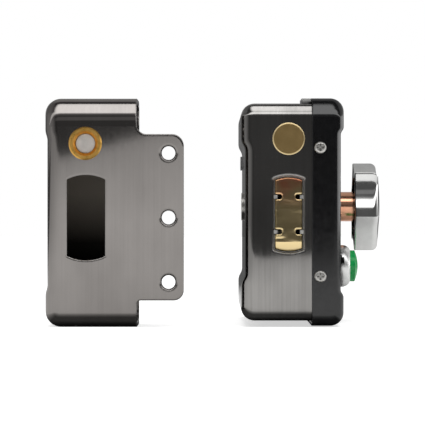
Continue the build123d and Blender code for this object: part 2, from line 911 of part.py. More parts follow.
def make_motor():
    """Round motor can on the gearbox's front side, with its rear boss and two terminals."""
    seat = out_of_edge(motor_x, gearbox_front_y, motor_z)
    can = rod(seat, motor_radius, motor_length)
    can = fillet(can.edges().filter_by(GeomType.CIRCLE).group_by(Axis.Y)[0], motor_round)
    rear = seat.offset(motor_length)
    can += rod(rear, motor_boss_radius, motor_boss_length)
    for side in (-1, 1):
        lug = Pos(0, side * motor_lug_rise) * Rectangle(motor_lug_width, motor_lug_thickness)
        can += rear * extrude(lug, amount=motor_lug_length)
    return can


def bracket_screw_places():
    """Planes on the bracket where its three screws seat."""
    x = sunken_inner_x + bracket_thickness
    low = bracket_bottom_z + bracket_screw_rise
    yield toward_room(x, bracket_front_y + bracket_screw_inset, low)
    yield toward_room(x, bracket_back_y - bracket_screw_inset, low)


def make_motor_bracket():
    """Plate on the door wall with a saddle that the motor lies in."""
    length = bracket_back_y - bracket_front_y
    height = bracket_top_z - bracket_bottom_z
    middle = toward_room(sunken_inner_x, bracket_front_y + length / 2, bracket_bottom_z + height / 2)
    plate = RectangleRounded(length, height, bracket_corner)
    bracket = middle * extrude(plate, amount=bracket_thickness)
    plate_x = sunken_inner_x + bracket_thickness
    bracket += block(
        (plate_x - near, saddle_front_y, motor_z - saddle_height / 2),
        (plate_x + saddle_rise, saddle_front_y + saddle_length, motor_z + saddle_height / 2),
    )
    bracket -= rod(out_of_edge(motor_x, gearbox_front_y, motor_z), motor_radius, motor_length)
    for y, z in door_bolt_places():
        bracket -= rod(toward_room(pad_inner_x, y, z), post_radius + bracket_post_gap, post_length)
    for place in bracket_screw_places():
        start = place.offset(-bracket_thickness - overrun)
        bracket -= rod(start, bracket_screw_radius, bracket_thickness + 2 * overrun)
    return bracket


def make_bracket_screws():
    """Two screws that hold the bracket on the door wall."""
    return [
        pan_screw(
            place, bracket_screw_radius, bracket_thickness,
            bracket_screw_head, bracket_screw_head_height,
        )
        for place in bracket_screw_places()
    ]


def switch_places():
    """Y of the front end of each limit switch."""
    return (switch_front_y, switch_front_y + switch_pitch)


def make_tail_guide():
    """Angle from the door wall: a shelf under the tail with a lip on each side of it."""
    room_x = bolt_x + tail_width / 2 + slide_gap + lip_thickness
    shelf = block(
        (sunken_inner_x, shelf_front_y, shelf_top_z - shelf_thickness),
        (room_x, shelf_back_y, shelf_top_z),
    )
    shelf += block(
        (sunken_inner_x, shelf_front_y, shelf_top_z - shelf_thickness - shelf_foot),
        (sunken_inner_x + shelf_thickness, shelf_back_y, shelf_top_z),
    )
    for side in (-1, 1):
        inner = bolt_x + side * (tail_width / 2 + slide_gap)
        outer = inner + side * lip_thickness
        shelf += block(
            (min(inner, outer), shelf_front_y, shelf_top_z - shelf_thickness),
            (max(inner, outer), shelf_back_y, shelf_top_z + lip_height),
        )
    for start in switch_places():
        hole = Plane(origin=(bolt_x, start + switch_length / 2, shelf_top_z + overrun), z_dir=(0, 0, -1))
        shelf -= rod(hole, switch_nub_hole, shelf_thickness + 2 * overrun)
    return shelf


def make_limit_switches():
    """Two small switches under the shelf, each with a nub that reaches up to the tail."""
    top_z = shelf_top_z - shelf_thickness
    switches = []
    for start in switch_places():
        body = block(
            (bolt_x - switch_width / 2, start, top_z - switch_height),
            (bolt_x + switch_width / 2, start + switch_length, top_z),
        )
        nub = Plane(origin=(bolt_x, start + switch_length / 2, top_z), z_dir=(0, 0, 1))
        switches.append(body + rod(nub, switch_nub_radius, tail_bottom_z - switch_nub_gap - top_z))
    return switches


def standoff_places():
    """Y and Z of each standoff, with the X of the door wall behind it."""
    for y in (-board_half_length + standoff_inset, board_half_length - standoff_inset):
        yield y, board_top_z - standoff_inset, sunken_inner_x
        yield y, board_bottom_z + standoff_inset, pad_inner_x


def make_control_board():
    """Circuit board with four screw holes."""
    height = board_top_z - board_bottom_z
    middle = toward_room(board_x, 0, board_bottom_z + height / 2)
    outline = RectangleRounded(2 * board_half_length, height, board_corner)
    board = middle * extrude(outline, amount=board_thickness)
    for y, z, wall_x in standoff_places():
        board -= rod(toward_room(board_x - overrun, y, z), board_screw_radius, board_thickness + 2 * overrun)
    return board


def make_board_standoffs():
    """Four tapped standoffs between the door wall and the board."""
    posts = []
    for y, z, wall_x in standoff_places():
        post = rod(toward_room(wall_x, y, z), standoff_radius, board_x - wall_x)
        depth = board_screw_length - board_thickness
        posts.append(post - rod(toward_room(board_x - depth, y, z), board_screw_radius, depth + overrun))
    return posts


def make_board_screws():
    """Four screws that hold the board on its standoffs."""
    return [
        pan_screw(
            toward_room(board_front_x, y, z), board_screw_radius, board_screw_length,
            board_screw_head, board_screw_head_height,
        )
        for y, z, wall_x in standoff_places()
    ]


def make_terminal_block():
    """Screw terminals for the door cable: wire mouths below, screws on the room side."""
    low_z = board_bottom_z + part_inset
    body = block(
        (board_front_x, terminal_y - terminal_length / 2, low_z),
        (board_front_x + terminal_depth, terminal_y + terminal_length / 2, low_z + terminal_height),
    )
    pitch = terminal_length / terminal_ways
    for index in range(terminal_ways):
        y = terminal_y - terminal_length / 2 + (index + arc_share) * pitch
        screw_x = board_front_x + terminal_depth - terminal_screw_depth
        room = toward_room(screw_x, y, low_z + terminal_height / 2)
        body -= rod(room, terminal_screw_radius, terminal_screw_depth + overrun)
        mouth = Plane(
            origin=(board_front_x + terminal_mouth, y, low_z - overrun), x_dir=(1, 0, 0), z_dir=(0, 0, 1)
        )
        way = Rectangle(terminal_mouth, terminal_mouth)
        body -= mouth * extrude(way, amount=terminal_mouth_depth + overrun)
    return body


def make_relay():
    """Relay on the board, with softened edges on its room side."""
    low_z = board_bottom_z + part_inset
    body = block(
        (board_front_x, relay_y - relay_length / 2, low_z),
        (board_front_x + relay_depth, relay_y + relay_length / 2, low_z + relay_height),
    )
    return fillet(body.edges().group_by(Axis.X)[-1], relay_round)


def make_door_bush():
    """Flanged bush in the door wall, whose collar stands slightly proud outside."""
    start_x = sunken_outer_x - door_bush_proud
    barrel_end = sunken_inner_x - start_x
    return turned(
        toward_room(start_x, spindle_y, spindle_z),
        (spindle_radius + running_gap, 0),
        (door_bush_radius, 0),
        (door_bush_radius, barrel_end),
        (door_bush_flange, barrel_end),
        (door_bush_flange, barrel_end + door_bush_flange_thickness),
        (spindle_radius + running_gap, barrel_end + door_bush_flange_thickness),
    )


def make_cover_bush():
    """Flanged bush in the cover, flush with its sunken face."""
    bore = sleeve_radius + running_gap
    barrel_end = cover_bush_flange_thickness + cover_wall
    return turned(
        toward_room(cover_inner_x - cover_bush_flange_thickness, spindle_y, spindle_z),
        (bore, 0),
        (cover_bush_flange, 0),
        (cover_bush_flange, cover_bush_flange_thickness),
        (cover_bush_radius, cover_bush_flange_thickness),
        (cover_bush_radius, barrel_end),
        (bore, barrel_end),
    )


def lobed_outline(inset=0.0):
    """Knob outline: concave arcs from crest to crest, drawn in by inset.

    A flute of radius f has its centre at distance d from the axis, and a crest lies half a lobe h away
    from it: its distance q solves q * q - 2 * q * d * cos(h) + d * d = (f + inset) ** 2.
    """
    half_lobe = pi / knob_lobes
    valley = knob_radius - knob_flute_depth
    half_chord = knob_radius * sin(half_lobe)
    hollow = knob_radius * cos(half_lobe) - valley
    flute = (half_chord * half_chord + hollow * hollow) / (2 * hollow)
    centre = valley + flute
    crest = centre * cos(half_lobe) - sqrt((flute + inset) ** 2 - (centre * sin(half_lobe)) ** 2)
    x, y = crest * cos(half_lobe), crest * sin(half_lobe)
    arc = ThreePointArc((x, -y), (valley - inset, 0), (x, y))
    first = 180 - knob_flute_turn
    return make_face([Rot(0, 0, first + 360 * index / knob_lobes) * arc for index in range(knob_lobes)])


def make_knob():
    """Hollow lobed knob with a domed front, a rounded front rim and a hub inside."""
    back = toward_room(knob_back_x, spindle_y, spindle_z)
    edge = knob_thickness - knob_dome
    drop = knob_rim_round
    profile = make_face([
        Line((0, 0), (knob_radius, 0)),
        Line((knob_radius, 0), (knob_radius, edge - drop)),
        ThreePointArc(
            (knob_radius, edge - drop),
            (knob_radius - drop * (1 - cos(radians(45))), edge - drop * (1 - sin(radians(45)))),
            (knob_radius - drop, edge),
        ),
        crown(knob_radius - drop, edge, knob_thickness, knob_flat),
        Line((knob_flat, knob_thickness), (0, knob_thickness)),
        Line((0, knob_thickness), (0, 0)),
    ])
    outline = lobed_outline()
    outline = fillet(outline.vertices(), knob_crest_round)
    knob = back * (extrude(outline, amount=knob_thickness) & revolve(Plane.XZ * profile, axis=Axis.Z))
    hollow = knob_thickness - knob_front_wall
    knob -= back.offset(-overrun) * extrude(lobed_outline(knob_wall), amount=hollow + overrun)
    hub_start = sleeve_end_x - knob_back_x
    hub = Circle(knob_hub_radius) - Circle(stub_radius)
    knob += back.offset(hub_start) * extrude(hub, amount=knob_back_x + hollow - sleeve_end_x)
    tapping = knob_screw_place().offset(-stub_radius / 2)
    return knob - rod(tapping, knob_screw_radius, knob_hub_radius)


def knob_screw_place():
    """Plane on the stub's side where the grub screw starts, facing the back."""
    x = (sleeve_end_x + knob_back_x + knob_thickness - knob_front_wall) / 2
    return out_of_back(x, spindle_y + stub_radius, spindle_z)


def make_knob_screw():
    """Grub screw in the hub that locks the knob on the stub."""
    return rod(knob_screw_place(), knob_screw_radius, knob_hub_radius - stub_radius)


def make_button_bezel():
    """Chrome dome with a threaded barrel behind it, bored for the cap, and a notch at its foot."""
    start = toward_room(barrel_start_x, button_y, button_z)
    seat = cover_sunken_x - barrel_start_x
    front = bezel_front_x - barrel_start_x
    floor = bezel_floor_x - barrel_start_x
    cap_bore = cap_radius + running_gap
    stem_bore = stem_radius + running_gap
    rim_middle = (
        (bezel_radius + bezel_front_radius) / 2 + bezel_swell,
        (seat + bezel_skirt + front) / 2 + bezel_swell,
    )
    profile = make_face([
        Polyline(
            (bezel_front_radius, front), (cap_bore, front), (cap_bore, floor + bezel_floor),
            (stem_bore, floor + bezel_floor), (stem_bore, floor), (barrel_bore, floor),
            (barrel_bore, 0), (barrel_radius, 0), (barrel_radius, seat), (bezel_radius, seat),
            (bezel_radius, seat + bezel_skirt),
        ),
        ThreePointArc((bezel_radius, seat + bezel_skirt), rim_middle, (bezel_front_radius, front)),
    ])
    bezel = start * revolve(Plane.XZ * profile, axis=Axis.Z)
    notch = Pos(bezel_radius, 0) * Rectangle(2 * bezel_notch_bite, bezel_notch_width)
    notch = Rot(0, 0, bezel_notch_turn) * notch
    return bezel - start.offset(seat) * extrude(notch, amount=bezel_notch_depth)


def make_button_nut():
    """Hexagon nut that clamps the bezel on the cover from inside."""
    hexagon = RegularPolygon(nut_across / 2, 6, major_radius=False)
    ring = hexagon - Circle(barrel_radius + fit_gap)
    seat = toward_room(cover_inner_x - nut_thickness, button_y, button_z)
    return seat * extrude(ring, amount=nut_thickness)


def make_button_cap():
    """Domed cap with a stem through the bezel's floor and a foot that holds it in."""
    start = toward_room(stem_back_x, button_y, button_z)
    back = cap_back_x - stem_back_x
    front = cap_front_x - stem_back_x
    profile = make_face([
        Polyline(
            (0, front), (0, 0), (stem_foot_radius, 0), (stem_foot_radius, stem_foot_length),
            (stem_radius, stem_foot_length), (stem_radius, back), (cap_radius, back),
            (cap_radius, front - cap_crown),
        ),
        crown(cap_radius, front - cap_crown, front),
    ])
    return start * revolve(Plane.XZ * profile, axis=Axis.Z)


def make_button_spring():
    """Coil spring round the stem, between the bezel's floor and the cap."""
    low = bezel_floor_x + bezel_floor + spring_seat_gap + spring_wire / 2
    high = cap_back_x - spring_seat_gap - spring_wire / 2
    pitch = (high - low) / spring_turns
    path = Helix(pitch=pitch, height=high - low, radius=spring_radius)
    section = Plane(origin=path @ 0, z_dir=path % 0) * Circle(spring_wire / 2)
    return toward_room(low, button_y, button_z) * sweep(section, path=path, is_frenet=True)


def make_contact_block():
    """Contact block on the end of the button's barrel, with a plunger below the stem."""
    end = toward_room(barrel_start_x, button_y, button_z)
    body = end.offset(-contact_length) * extrude(
        RectangleRounded(contact_width, contact_width, part_inset), amount=contact_length
    )
    rim = Circle(barrel_radius) - Circle(barrel_bore)
    body += end.offset(-contact_length) * extrude(rim, amount=contact_length)
    reach = stem_back_x - cap_travel - contact_plunger_gap - barrel_start_x
    return body + rod(end, contact_plunger_radius, reach)


def make_cable_grommet():
    """Rubber ring in the door wall, gripping it between two lips."""
    waist_start = grommet_proud
    waist_end = waist_start + case_wall
    return turned(
        toward_room(sunken_outer_x - grommet_proud, grommet_y, grommet_z),
        (grommet_bore, 0),
        (grommet_radius, 0),
        (grommet_radius, waist_start),
        (grommet_waist, waist_start),
        (grommet_waist, waist_end),
        (grommet_inner_radius, waist_end),
        (grommet_inner_radius, waist_end + grommet_lip),
        (grommet_bore, waist_end + grommet_lip),
    )


def tab_outline():
    """Front view of the tab and of the strip of front wall that it grows out of."""
    height = tab_top_z - tab_bottom_z
    middle = (tab_top_z + tab_bottom_z) / 2
    strip = Pos(strike_reach - tab_root / 2, middle) * Rectangle(tab_root, height + 2 * tab_margin)
    tab = Pos((strike_reach + tab_reach) / 2, middle) * Rectangle(tab_reach - strike_reach, height)
    outline = strip + tab
    rounds = (
        (tab_reach, tab_top_z, tab_top_corner),
        (tab_reach, tab_bottom_z, tab_bottom_corner),
        (strike_reach, tab_top_z, tab_root_top),
        (strike_reach, tab_bottom_z, tab_root_bottom),
    )
    for x, z, radius in rounds:
        corner = ShapeList(v for v in outline.vertices() if abs(v.X - x) < near and abs(v.Y - z) < near)
        outline = fillet(corner, radius)
    return outline


def make_strike_shell():
    """Open-sided box with the bolt's mouth, the ring's hole and a screw tab."""
    tray = pressed_tray(
        strike_reach, strike_half_height, strike_half_depth, strike_wall, strike_rounding,
        strike_corner, strike_step, strike_bend, strike_pad_end,
    )
    shell = Pos(strike_x, strike_y, strike_z) * tray
    plate = out_of_edge(strike_x, edge_y + strike_wall, strike_z)
    shell += plate * extrude(tab_outline(), amount=strike_wall)
    mouth_face = out_of_edge(strike_x + strike_mouth_x, edge_y, strike_z - strike_mouth_drop)
    mouth = arched_slot(strike_mouth_diameter, strike_mouth_width)
    shell -= mouth_face.offset(-strike_wall - overrun) * extrude(mouth, amount=strike_wall + 2 * overrun)
    ring = out_of_edge(strike_x + ring_x, edge_y + strike_wall + overrun, strike_z + ring_rise)
    shell -= rod(ring, ring_barrel_radius + fit_gap, strike_wall + 2 * overrun)
    for index in range(tab_holes):
        z = strike_z - tab_hole_drop + (index - (tab_holes - 1) / 2) * tab_hole_pitch
        shell -= turned(
            out_of_edge(strike_x + tab_hole_x, edge_y, z),
            (0, -strike_wall - overrun),
            (tab_hole_radius, -strike_wall - overrun),
            (tab_hole_radius, -tab_sink_depth),
            (tab_sink_radius, 0),
            (tab_sink_radius, overrun),
            (0, overrun),
        )
    return shell


def ring_place():
    """Plane on the strike's front face at the ring's centre."""
    return out_of_edge(strike_x + ring_x, edge_y, strike_z + ring_rise)


def make_strike_ring():
    """Brass ring with a bevelled rim and a conical mouth, on a barrel through the strike's front wall."""
    return turned(
        ring_place(),
        (ring_bore, -ring_barrel_length),
        (ring_barrel_radius, -ring_barrel_length),
        (ring_barrel_radius, 0),
        (ring_radius, 0),
        (ring_radius, ring_thickness - ring_bevel),
        (ring_radius - ring_bevel, ring_thickness),
        (ring_mouth, ring_thickness),
        (ring_bore, ring_thickness - ring_cone_depth),
    )


def make_strike_magnet():
    """Magnet set back in the ring."""
    return rod(ring_place().offset(-magnet_setback - magnet_length), magnet_radius, magnet_length)


def make_magnet_cup():
    """Steel cup behind the magnet: its wall sleeves the ring's barrel and its floor meets the magnet."""
    floor = magnet_setback + magnet_length
    outer = ring_barrel_radius + fit_gap + magnet_cup_wall
    depth = strike_wall + magnet_cup_length
    return turned(
        ring_place(),
        (0, -depth),
        (outer, -depth),
        (outer, -strike_wall),
        (ring_barrel_radius + fit_gap, -strike_wall),
        (ring_barrel_radius + fit_gap, -ring_barrel_length),
        (magnet_radius, -ring_barrel_length),
        (magnet_radius, -floor),
        (0, -floor),
    )


PIECES = {
    "lock_case": make_case,
    "lock_cover": make_cover,
    "cover_screws": make_cover_screws,
    "clinch_nuts": make_clinch_nuts,
    "mounting_posts": make_mounting_posts,
    "sensor_cap": make_sensor_cap,
    "sensor_nut": make_sensor_nut,
    "sensor_board": make_sensor_board,
    "bolt": make_bolt,
    "bolt_pins": make_bolt_pins,
    "bolt_tail": make_bolt_tail,
    "bolt_guide": make_bolt_guide,
    "tail_guide": make_tail_guide,
    "limit_switches": make_limit_switches,
    "spindle": make_spindle,
    "spindle_clip": make_spindle_clip,
    "spindle_pinion": make_spindle_pinion,
    "spindle_gear": make_spindle_gear,
    "door_bush": make_door_bush,
    "cover_bush": make_cover_bush,
    "knob": make_knob,
    "knob_screw": make_knob_screw,
    "drive_shaft": make_drive_shaft,
    "drive_pinion": make_drive_pinion,
    "gearbox": make_gearbox,
    "gearbox_lid": make_gearbox_lid,
    "gearbox_screws": make_gearbox_screws,
    "motor": make_motor,
    "motor_bracket": make_motor_bracket,
    "bracket_screws": make_bracket_screws,
    "control_board": make_control_board,
    "board_standoffs": make_board_standoffs,
    "board_screws": make_board_screws,
    "terminal_block": make_terminal_block,
    "relay": make_relay,
    "button_bezel": make_button_bezel,
    "button_nut": make_button_nut,
    "button_cap": make_button_cap,
    "button_spring": make_button_spring,
    "contact_block": make_contact_block,
    "cable_grommet": make_cable_grommet,
    "strike_shell": make_strike_shell,
    "strike_ring": make_strike_ring,
    "strike_magnet": make_strike_magnet,
    "magnet_cup": make_magnet_cup,
}

os.makedirs("parts", exist_ok=True)
for name, make in PIECES.items():
    piece = make()
    solids = piece if isinstance(piece, list) else [piece]
    shape = solids[0] if len(solids) == 1 else Compound(children=solids)
    export_step(shape, f"parts/{name}.step")
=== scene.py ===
"""Looks for the motorized door lock: brushed gunmetal case, black enamel cover, polished brass bolt."""

import json
import math

import bmesh
import bpy
import numpy as np
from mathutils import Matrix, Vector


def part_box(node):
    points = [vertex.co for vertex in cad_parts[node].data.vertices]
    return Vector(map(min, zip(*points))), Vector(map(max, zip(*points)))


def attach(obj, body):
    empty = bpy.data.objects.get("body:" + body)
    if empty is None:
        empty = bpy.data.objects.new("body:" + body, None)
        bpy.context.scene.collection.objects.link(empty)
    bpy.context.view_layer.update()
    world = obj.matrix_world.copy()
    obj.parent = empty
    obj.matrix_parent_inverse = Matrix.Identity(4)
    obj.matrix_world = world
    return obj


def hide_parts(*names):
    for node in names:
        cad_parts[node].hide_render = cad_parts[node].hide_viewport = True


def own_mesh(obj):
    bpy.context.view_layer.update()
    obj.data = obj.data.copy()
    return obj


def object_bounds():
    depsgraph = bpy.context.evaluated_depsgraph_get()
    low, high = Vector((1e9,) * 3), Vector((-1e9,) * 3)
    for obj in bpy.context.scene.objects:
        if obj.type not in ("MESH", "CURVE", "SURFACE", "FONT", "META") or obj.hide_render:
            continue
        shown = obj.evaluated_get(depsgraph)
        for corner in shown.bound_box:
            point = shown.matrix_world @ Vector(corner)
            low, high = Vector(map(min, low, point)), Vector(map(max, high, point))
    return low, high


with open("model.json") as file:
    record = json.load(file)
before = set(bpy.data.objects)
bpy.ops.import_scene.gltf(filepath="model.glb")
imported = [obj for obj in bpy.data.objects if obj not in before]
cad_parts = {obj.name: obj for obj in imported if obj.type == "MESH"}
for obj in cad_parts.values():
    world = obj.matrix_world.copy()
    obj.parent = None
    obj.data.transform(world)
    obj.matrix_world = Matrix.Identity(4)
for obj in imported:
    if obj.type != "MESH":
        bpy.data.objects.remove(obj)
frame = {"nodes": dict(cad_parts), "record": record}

CAD_BOX = [list(map(float, corner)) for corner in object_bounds()]
NODES = frame["nodes"]
MM = 0.001

FRONT_PLANE_Y = -58 * MM  # the bolt edge of the lock and the face of the strike
VIEW_WIDTH = 186.4 * MM  # what the photograph's width covers on that plane
CAMERA_DISTANCE = 1110 * MM
CAMERA_X, CAMERA_Z = -12.5 * MM, -0.2 * MM
SENSOR_WIDTH = 36.0  # in millimetres, as the camera counts it


def show(name, data):
    """New object in the scene, at the origin."""
    thing = bpy.data.objects.new(name, data)
    bpy.context.scene.collection.objects.link(thing)
    return thing


def place_camera():
    """A long lens that looks along +Y at the bolt edge; lens = sensor x distance / width seen."""
    data = bpy.data.cameras.new("photo_camera")
    data.sensor_width = SENSOR_WIDTH
    data.lens = SENSOR_WIDTH * CAMERA_DISTANCE / VIEW_WIDTH
    camera = show("photo_camera", data)
    camera.location = (CAMERA_X, FRONT_PLANE_Y - CAMERA_DISTANCE, CAMERA_Z)
    camera.rotation_euler = (math.radians(90), 0, 0)
    bpy.context.scene.camera = camera


MIX_FROM, MIX_TO, MIX_RESULT = 6, 7, 2  # the Mix node's colour sockets, whose names other sockets share
SWITCH_OFF, SWITCH_ON = 2, 3  # its sockets for plain values
EDGE_SAMPLES, HOLLOW_SAMPLES = 8, 6
SHUT_IN, OPEN_AIR = 0.35, 0.75  # shares of free air round a point
BEND_SOFT = 0.8 * MM


class Shader:
    """Nodes of a material or a world; add() makes one, sets its inputs and links the sockets given."""

    def __init__(self, owner):
        owner.use_nodes = True
        self.owner = owner
        self.tree = owner.node_tree
        self.tree.nodes.clear()

    def add(self, kind, inputs=None, output=0, **settings):
        """One output of a new node, if it has any."""
        node = self.tree.nodes.new(kind)
        for key, value in settings.items():
            setattr(node, key, value)
        for key, value in (inputs or {}).items():
            self.feed(node.inputs[key], value)
        return node.outputs[output] if node.outputs else None

    def feed(self, socket, value):
        """Links a socket to another, or sets it to a plain value."""
        if isinstance(value, bpy.types.NodeSocket):
            self.tree.links.new(value, socket)
        else:
            socket.default_value = value

    def place(self, stretch=(1, 1, 1), turn=(0, 0, 0), shift=(0, 0, 0)):
        """Object coordinates, stretched per axis, turned and shifted by a Mapping node."""
        here = self.add("ShaderNodeTexCoord", output="Object")
        angles = tuple(math.radians(a) for a in turn)
        inputs = {"Vector": here, "Location": shift, "Rotation": angles, "Scale": stretch}
        return self.add("ShaderNodeMapping", inputs)

    def noise(self, size, detail=3.0, stretch=(1, 1, 1), shift=(0, 0, 0), rough=0.5):
        """Cloudy noise 0..1 with patches about `size` metres across."""
        where = self.place(stretch, shift=shift)
        inputs = {"Vector": where, "Scale": 1 / size, "Detail": detail, "Roughness": rough}
        return self.add("ShaderNodeTexNoise", inputs)

    def span(self, value, low, high, start=0.0, end=1.0):
        """value from low..high mapped to start..end, held at the ends."""
        limits = {"From Min": low, "From Max": high, "To Min": start, "To Max": end}
        return self.add("ShaderNodeMapRange", {"Value": value, **limits})

    def maths(self, operation, *values):
        """Math node of one or two values, or a chain of such nodes for more."""
        result = self.add("ShaderNodeMath", dict(enumerate(values[:2])), operation=operation)
        for value in values[2:]:
            result = self.add("ShaderNodeMath", {0: result, 1: value}, operation=operation)
        return result

    def split(self, vector):
        """X, Y and Z of a vector."""
        node = self.tree.nodes.new("ShaderNodeSeparateXYZ")
        self.feed(node.inputs[0], vector)
        return node.outputs

    def axes(self):
        """X, Y and Z of the object coordinates."""
        return self.split(self.add("ShaderNodeTexCoord", output="Object"))

    def ray(self, kind):
        """1 for rays of one kind, "Camera" or "Glossy", and 0 for the others."""
        return self.add("ShaderNodeLightPath", output=f"Is {kind} Ray")

    def rounded(self, radius):
        """Normal of the surface with its edges eased over `radius` metres."""
        return self.add("ShaderNodeBevel", {"Radius": radius}, samples=EDGE_SAMPLES)

    def levelled(self, normal, flat, tilt):
        """Normal that loses its Z part where `flat` is 1 and is then turned up by the slope `tilt`."""
        x, y, z = self.split(normal)
        kept = self.maths("MULTIPLY", z, self.maths("SUBTRACT", 1.0, flat))
        turned = self.add("ShaderNodeCombineXYZ", {0: x, 1: y, 2: self.maths("ADD", kept, tilt)})
        return self.add("ShaderNodeVectorMath", {0: turned}, operation="NORMALIZE")

    def rolling(self, start, full, hold, end, slope, last):
        """Slope of a face that rolls over into its bend: from none at the height `start` to `slope` at
        `full`, held to `hold` and on to `last` at `end`, where the real bend has taken over."""
        height = self.axes()[2]
        rise = self.span(height, start, full, 0.0, slope)
        return self.maths("MINIMUM", rise, self.span(height, hold, end, slope, last))

    def bend_ends(self, low, high):
        """1 where the S-bends run out over the rims: in the box, counted from Y = 0 and Z = 0 both ways."""
        x, y, z = self.axes()
        return self.inside(low, high, BEND_SOFT, (x, self.maths("ABSOLUTE", y), self.maths("ABSOLUTE", z)))

    def inside(self, low, high, soft, axes=None):
        """1 inside the box from low to high, 0 outside, over `soft` metres at each side."""
        walls = []
        for axis, a, b in zip(axes or self.axes(), low, high):
            walls += self.span(axis, a, a + soft), self.span(axis, b, b - soft)
        return self.maths("MINIMUM", *walls)

    def shade(self, reach):
        """0 in the open to 1 in a hollow, looking `reach` metres round each point."""
        around = {"Distance": reach}
        air = self.add("ShaderNodeAmbientOcclusion", around, output="AO", samples=HOLLOW_SAMPLES)
        return self.span(air, SHUT_IN, OPEN_AIR, 1.0, 0.0)

    def mix(self, amount, base, other):
        """Colour that goes from base to other with amount 0..1; each is a socket or three values."""
        ends = (c if isinstance(c, bpy.types.NodeSocket) else (*c, 1) for c in (base, other))
        inputs = {0: amount, **dict(zip((MIX_FROM, MIX_TO), ends))}
        return self.add("ShaderNodeMix", inputs, output=MIX_RESULT, data_type="RGBA")

    def choose(self, mask, off, on):
        """The value `off` where the mask is 0 and `on` where it is 1."""
        return self.add("ShaderNodeMix", {0: mask, SWITCH_OFF: off, SWITCH_ON: on})

    def bump(self, height, depth, normal=None):
        """Normal tilted by a height field whose full swing is `depth` metres."""
        base = {} if normal is None else {"Normal": normal}
        return self.add("ShaderNodeBump", {"Height": height, "Distance": depth, "Strength": 1.0, **base})

    def worn(self, rounded, sharp):
        """0 on flats to 1 on edges, where the eased normal leaves the true one by `sharp`."""
        true = self.add("ShaderNodeNewGeometry", output="Normal")
        pair = {0: rounded, 1: true}
        likeness = self.add("ShaderNodeVectorMath", pair, output="Value", operation="DOT_PRODUCT")
        return self.span(likeness, 1.0 - sharp, 1.0, 1.0, 0.0)

    def finish(self, **inputs):
        """Principled surface with the given sockets, on the material's output."""
        names = {key.replace("_", " "): value for key, value in inputs.items()}
        surface = self.add("ShaderNodeBsdfPrincipled", names)
        self.add("ShaderNodeOutputMaterial", {"Surface": surface})
        return self.owner


def new_material(name):
    """Shader of a new, empty material."""
    return Shader(bpy.data.materials.new(name))


WIDE, NARROW = (0.3, 0.7), (0.35, 0.65)  # parts of a noise's range that are stretched to the full one
TWO_NOISES = 0.7, 1.3  # the same for the sum of two
EASED_EDGE = 1.3 * MM
STREAK, FINE_STREAK, CLOUD, DENT = 0.9 * MM, 0.25 * MM, 22 * MM, 16 * MM
GROOVE_DEPTH, BRUSHING = 0.0004 * MM, 0.8
EDGE_SHARPNESS, EDGE_WEAR, WORN_STEEL = 0.5, 0.2, (0.55, 0.54, 0.52)

HOLLOW_SOFT = 0.3 * MM
# Inside the strike's hollow: its own brownish tone, and painted shade from none at the first height to the
# dark floor tone at the second
HOLLOW_SHADE_START_Z, HOLLOW_SHADE_FULL_Z = 8 * MM, -14 * MM
HOLLOW_TONE, HOLLOW_FLOOR_SHADE = (0.23, 0.205, 0.175), (0.02, 0.018, 0.016)
HOLLOW_DULLING = 0.45


def brushed_gunmetal(name, tones, streaking, shift, gloss, face, hollow=None):
    """Plated sheet steel, brushed up and down.

    Streaking is the streaks' share of the tone against the clouds', shift moves both noises, gloss is the
    least and most roughness, face holds what pressed_face takes, and hollow is a box that is dull inside,
    with painted shade towards its floor.
    """
    s = new_material(name)
    streaks = s.noise(STREAK, detail=4.0, stretch=(1, 1, 0.012), shift=(shift, 0, 0), rough=0.6)
    fine = s.noise(FINE_STREAK, detail=2.0, stretch=(1, 1, 0.02))
    clouds = s.noise(CLOUD, stretch=(1, 1, 0.6), shift=(0, shift, 0))
    shares = s.maths("MULTIPLY", streaks, streaking), s.maths("MULTIPLY", clouds, 1.0 - streaking)
    eased = s.rounded(EASED_EDGE)
    wear = s.maths("MULTIPLY", s.worn(eased, EDGE_SHARPNESS), EDGE_WEAR)
    colour = s.mix(s.span(s.maths("ADD", *shares), *WIDE), *tones)
    colour = s.mix(wear, colour, WORN_STEEL)
    roughness = s.span(s.maths("ADD", fine, clouds), *TWO_NOISES, *gloss)
    # the hollow turns dull and brownish, with painted shade towards its floor
    if hollow:
        colour, roughness = dulled_and_shaded(s, hollow, colour, roughness)
    grooves = s.bump(fine, GROOVE_DEPTH, pressed_face(s, eased, **face))
    tangent = s.add("ShaderNodeTangent", direction_type="RADIAL", axis="Z")
    return s.finish(
        Base_Color=colour, Metallic=1.0, Roughness=roughness, Anisotropic=BRUSHING, Normal=grooves,
        Tangent=tangent,
    )


def dulled_and_shaded(s, hollow, colour, roughness):
    """Colour and roughness that turn dull inside the box `hollow`, with painted shade that grows darker
    towards its floor.
    """
    deep = s.inside(*hollow, HOLLOW_SOFT)
    floor_shade = s.maths("MULTIPLY", deep, s.span(s.axes()[2], HOLLOW_SHADE_START_Z, HOLLOW_SHADE_FULL_Z))
    colour = s.mix(floor_shade, s.mix(deep, colour, HOLLOW_TONE), HOLLOW_FLOOR_SHADE)
    return colour, s.maths("ADD", roughness, s.maths("MULTIPLY", deep, HOLLOW_DULLING))


def pressed_face(s, eased, lean, twist, wave, roll, bends):
    """Normal of a pressed face that isn't quite true.

    Its slope is -(lean + twist * x), it rolls over near the top and has dents `wave` deep. Bends is the
    box of the S-bends' ends.
    """
    leaning = s.maths("ADD", s.maths("MULTIPLY", s.axes()[0], twist), lean)
    level = s.levelled(eased, s.bend_ends(*bends), s.maths("SUBTRACT", s.rolling(*roll), leaning))
    return s.bump(s.noise(DENT, detail=1.0, stretch=(1.6, 1, 0.35)), wave, level)


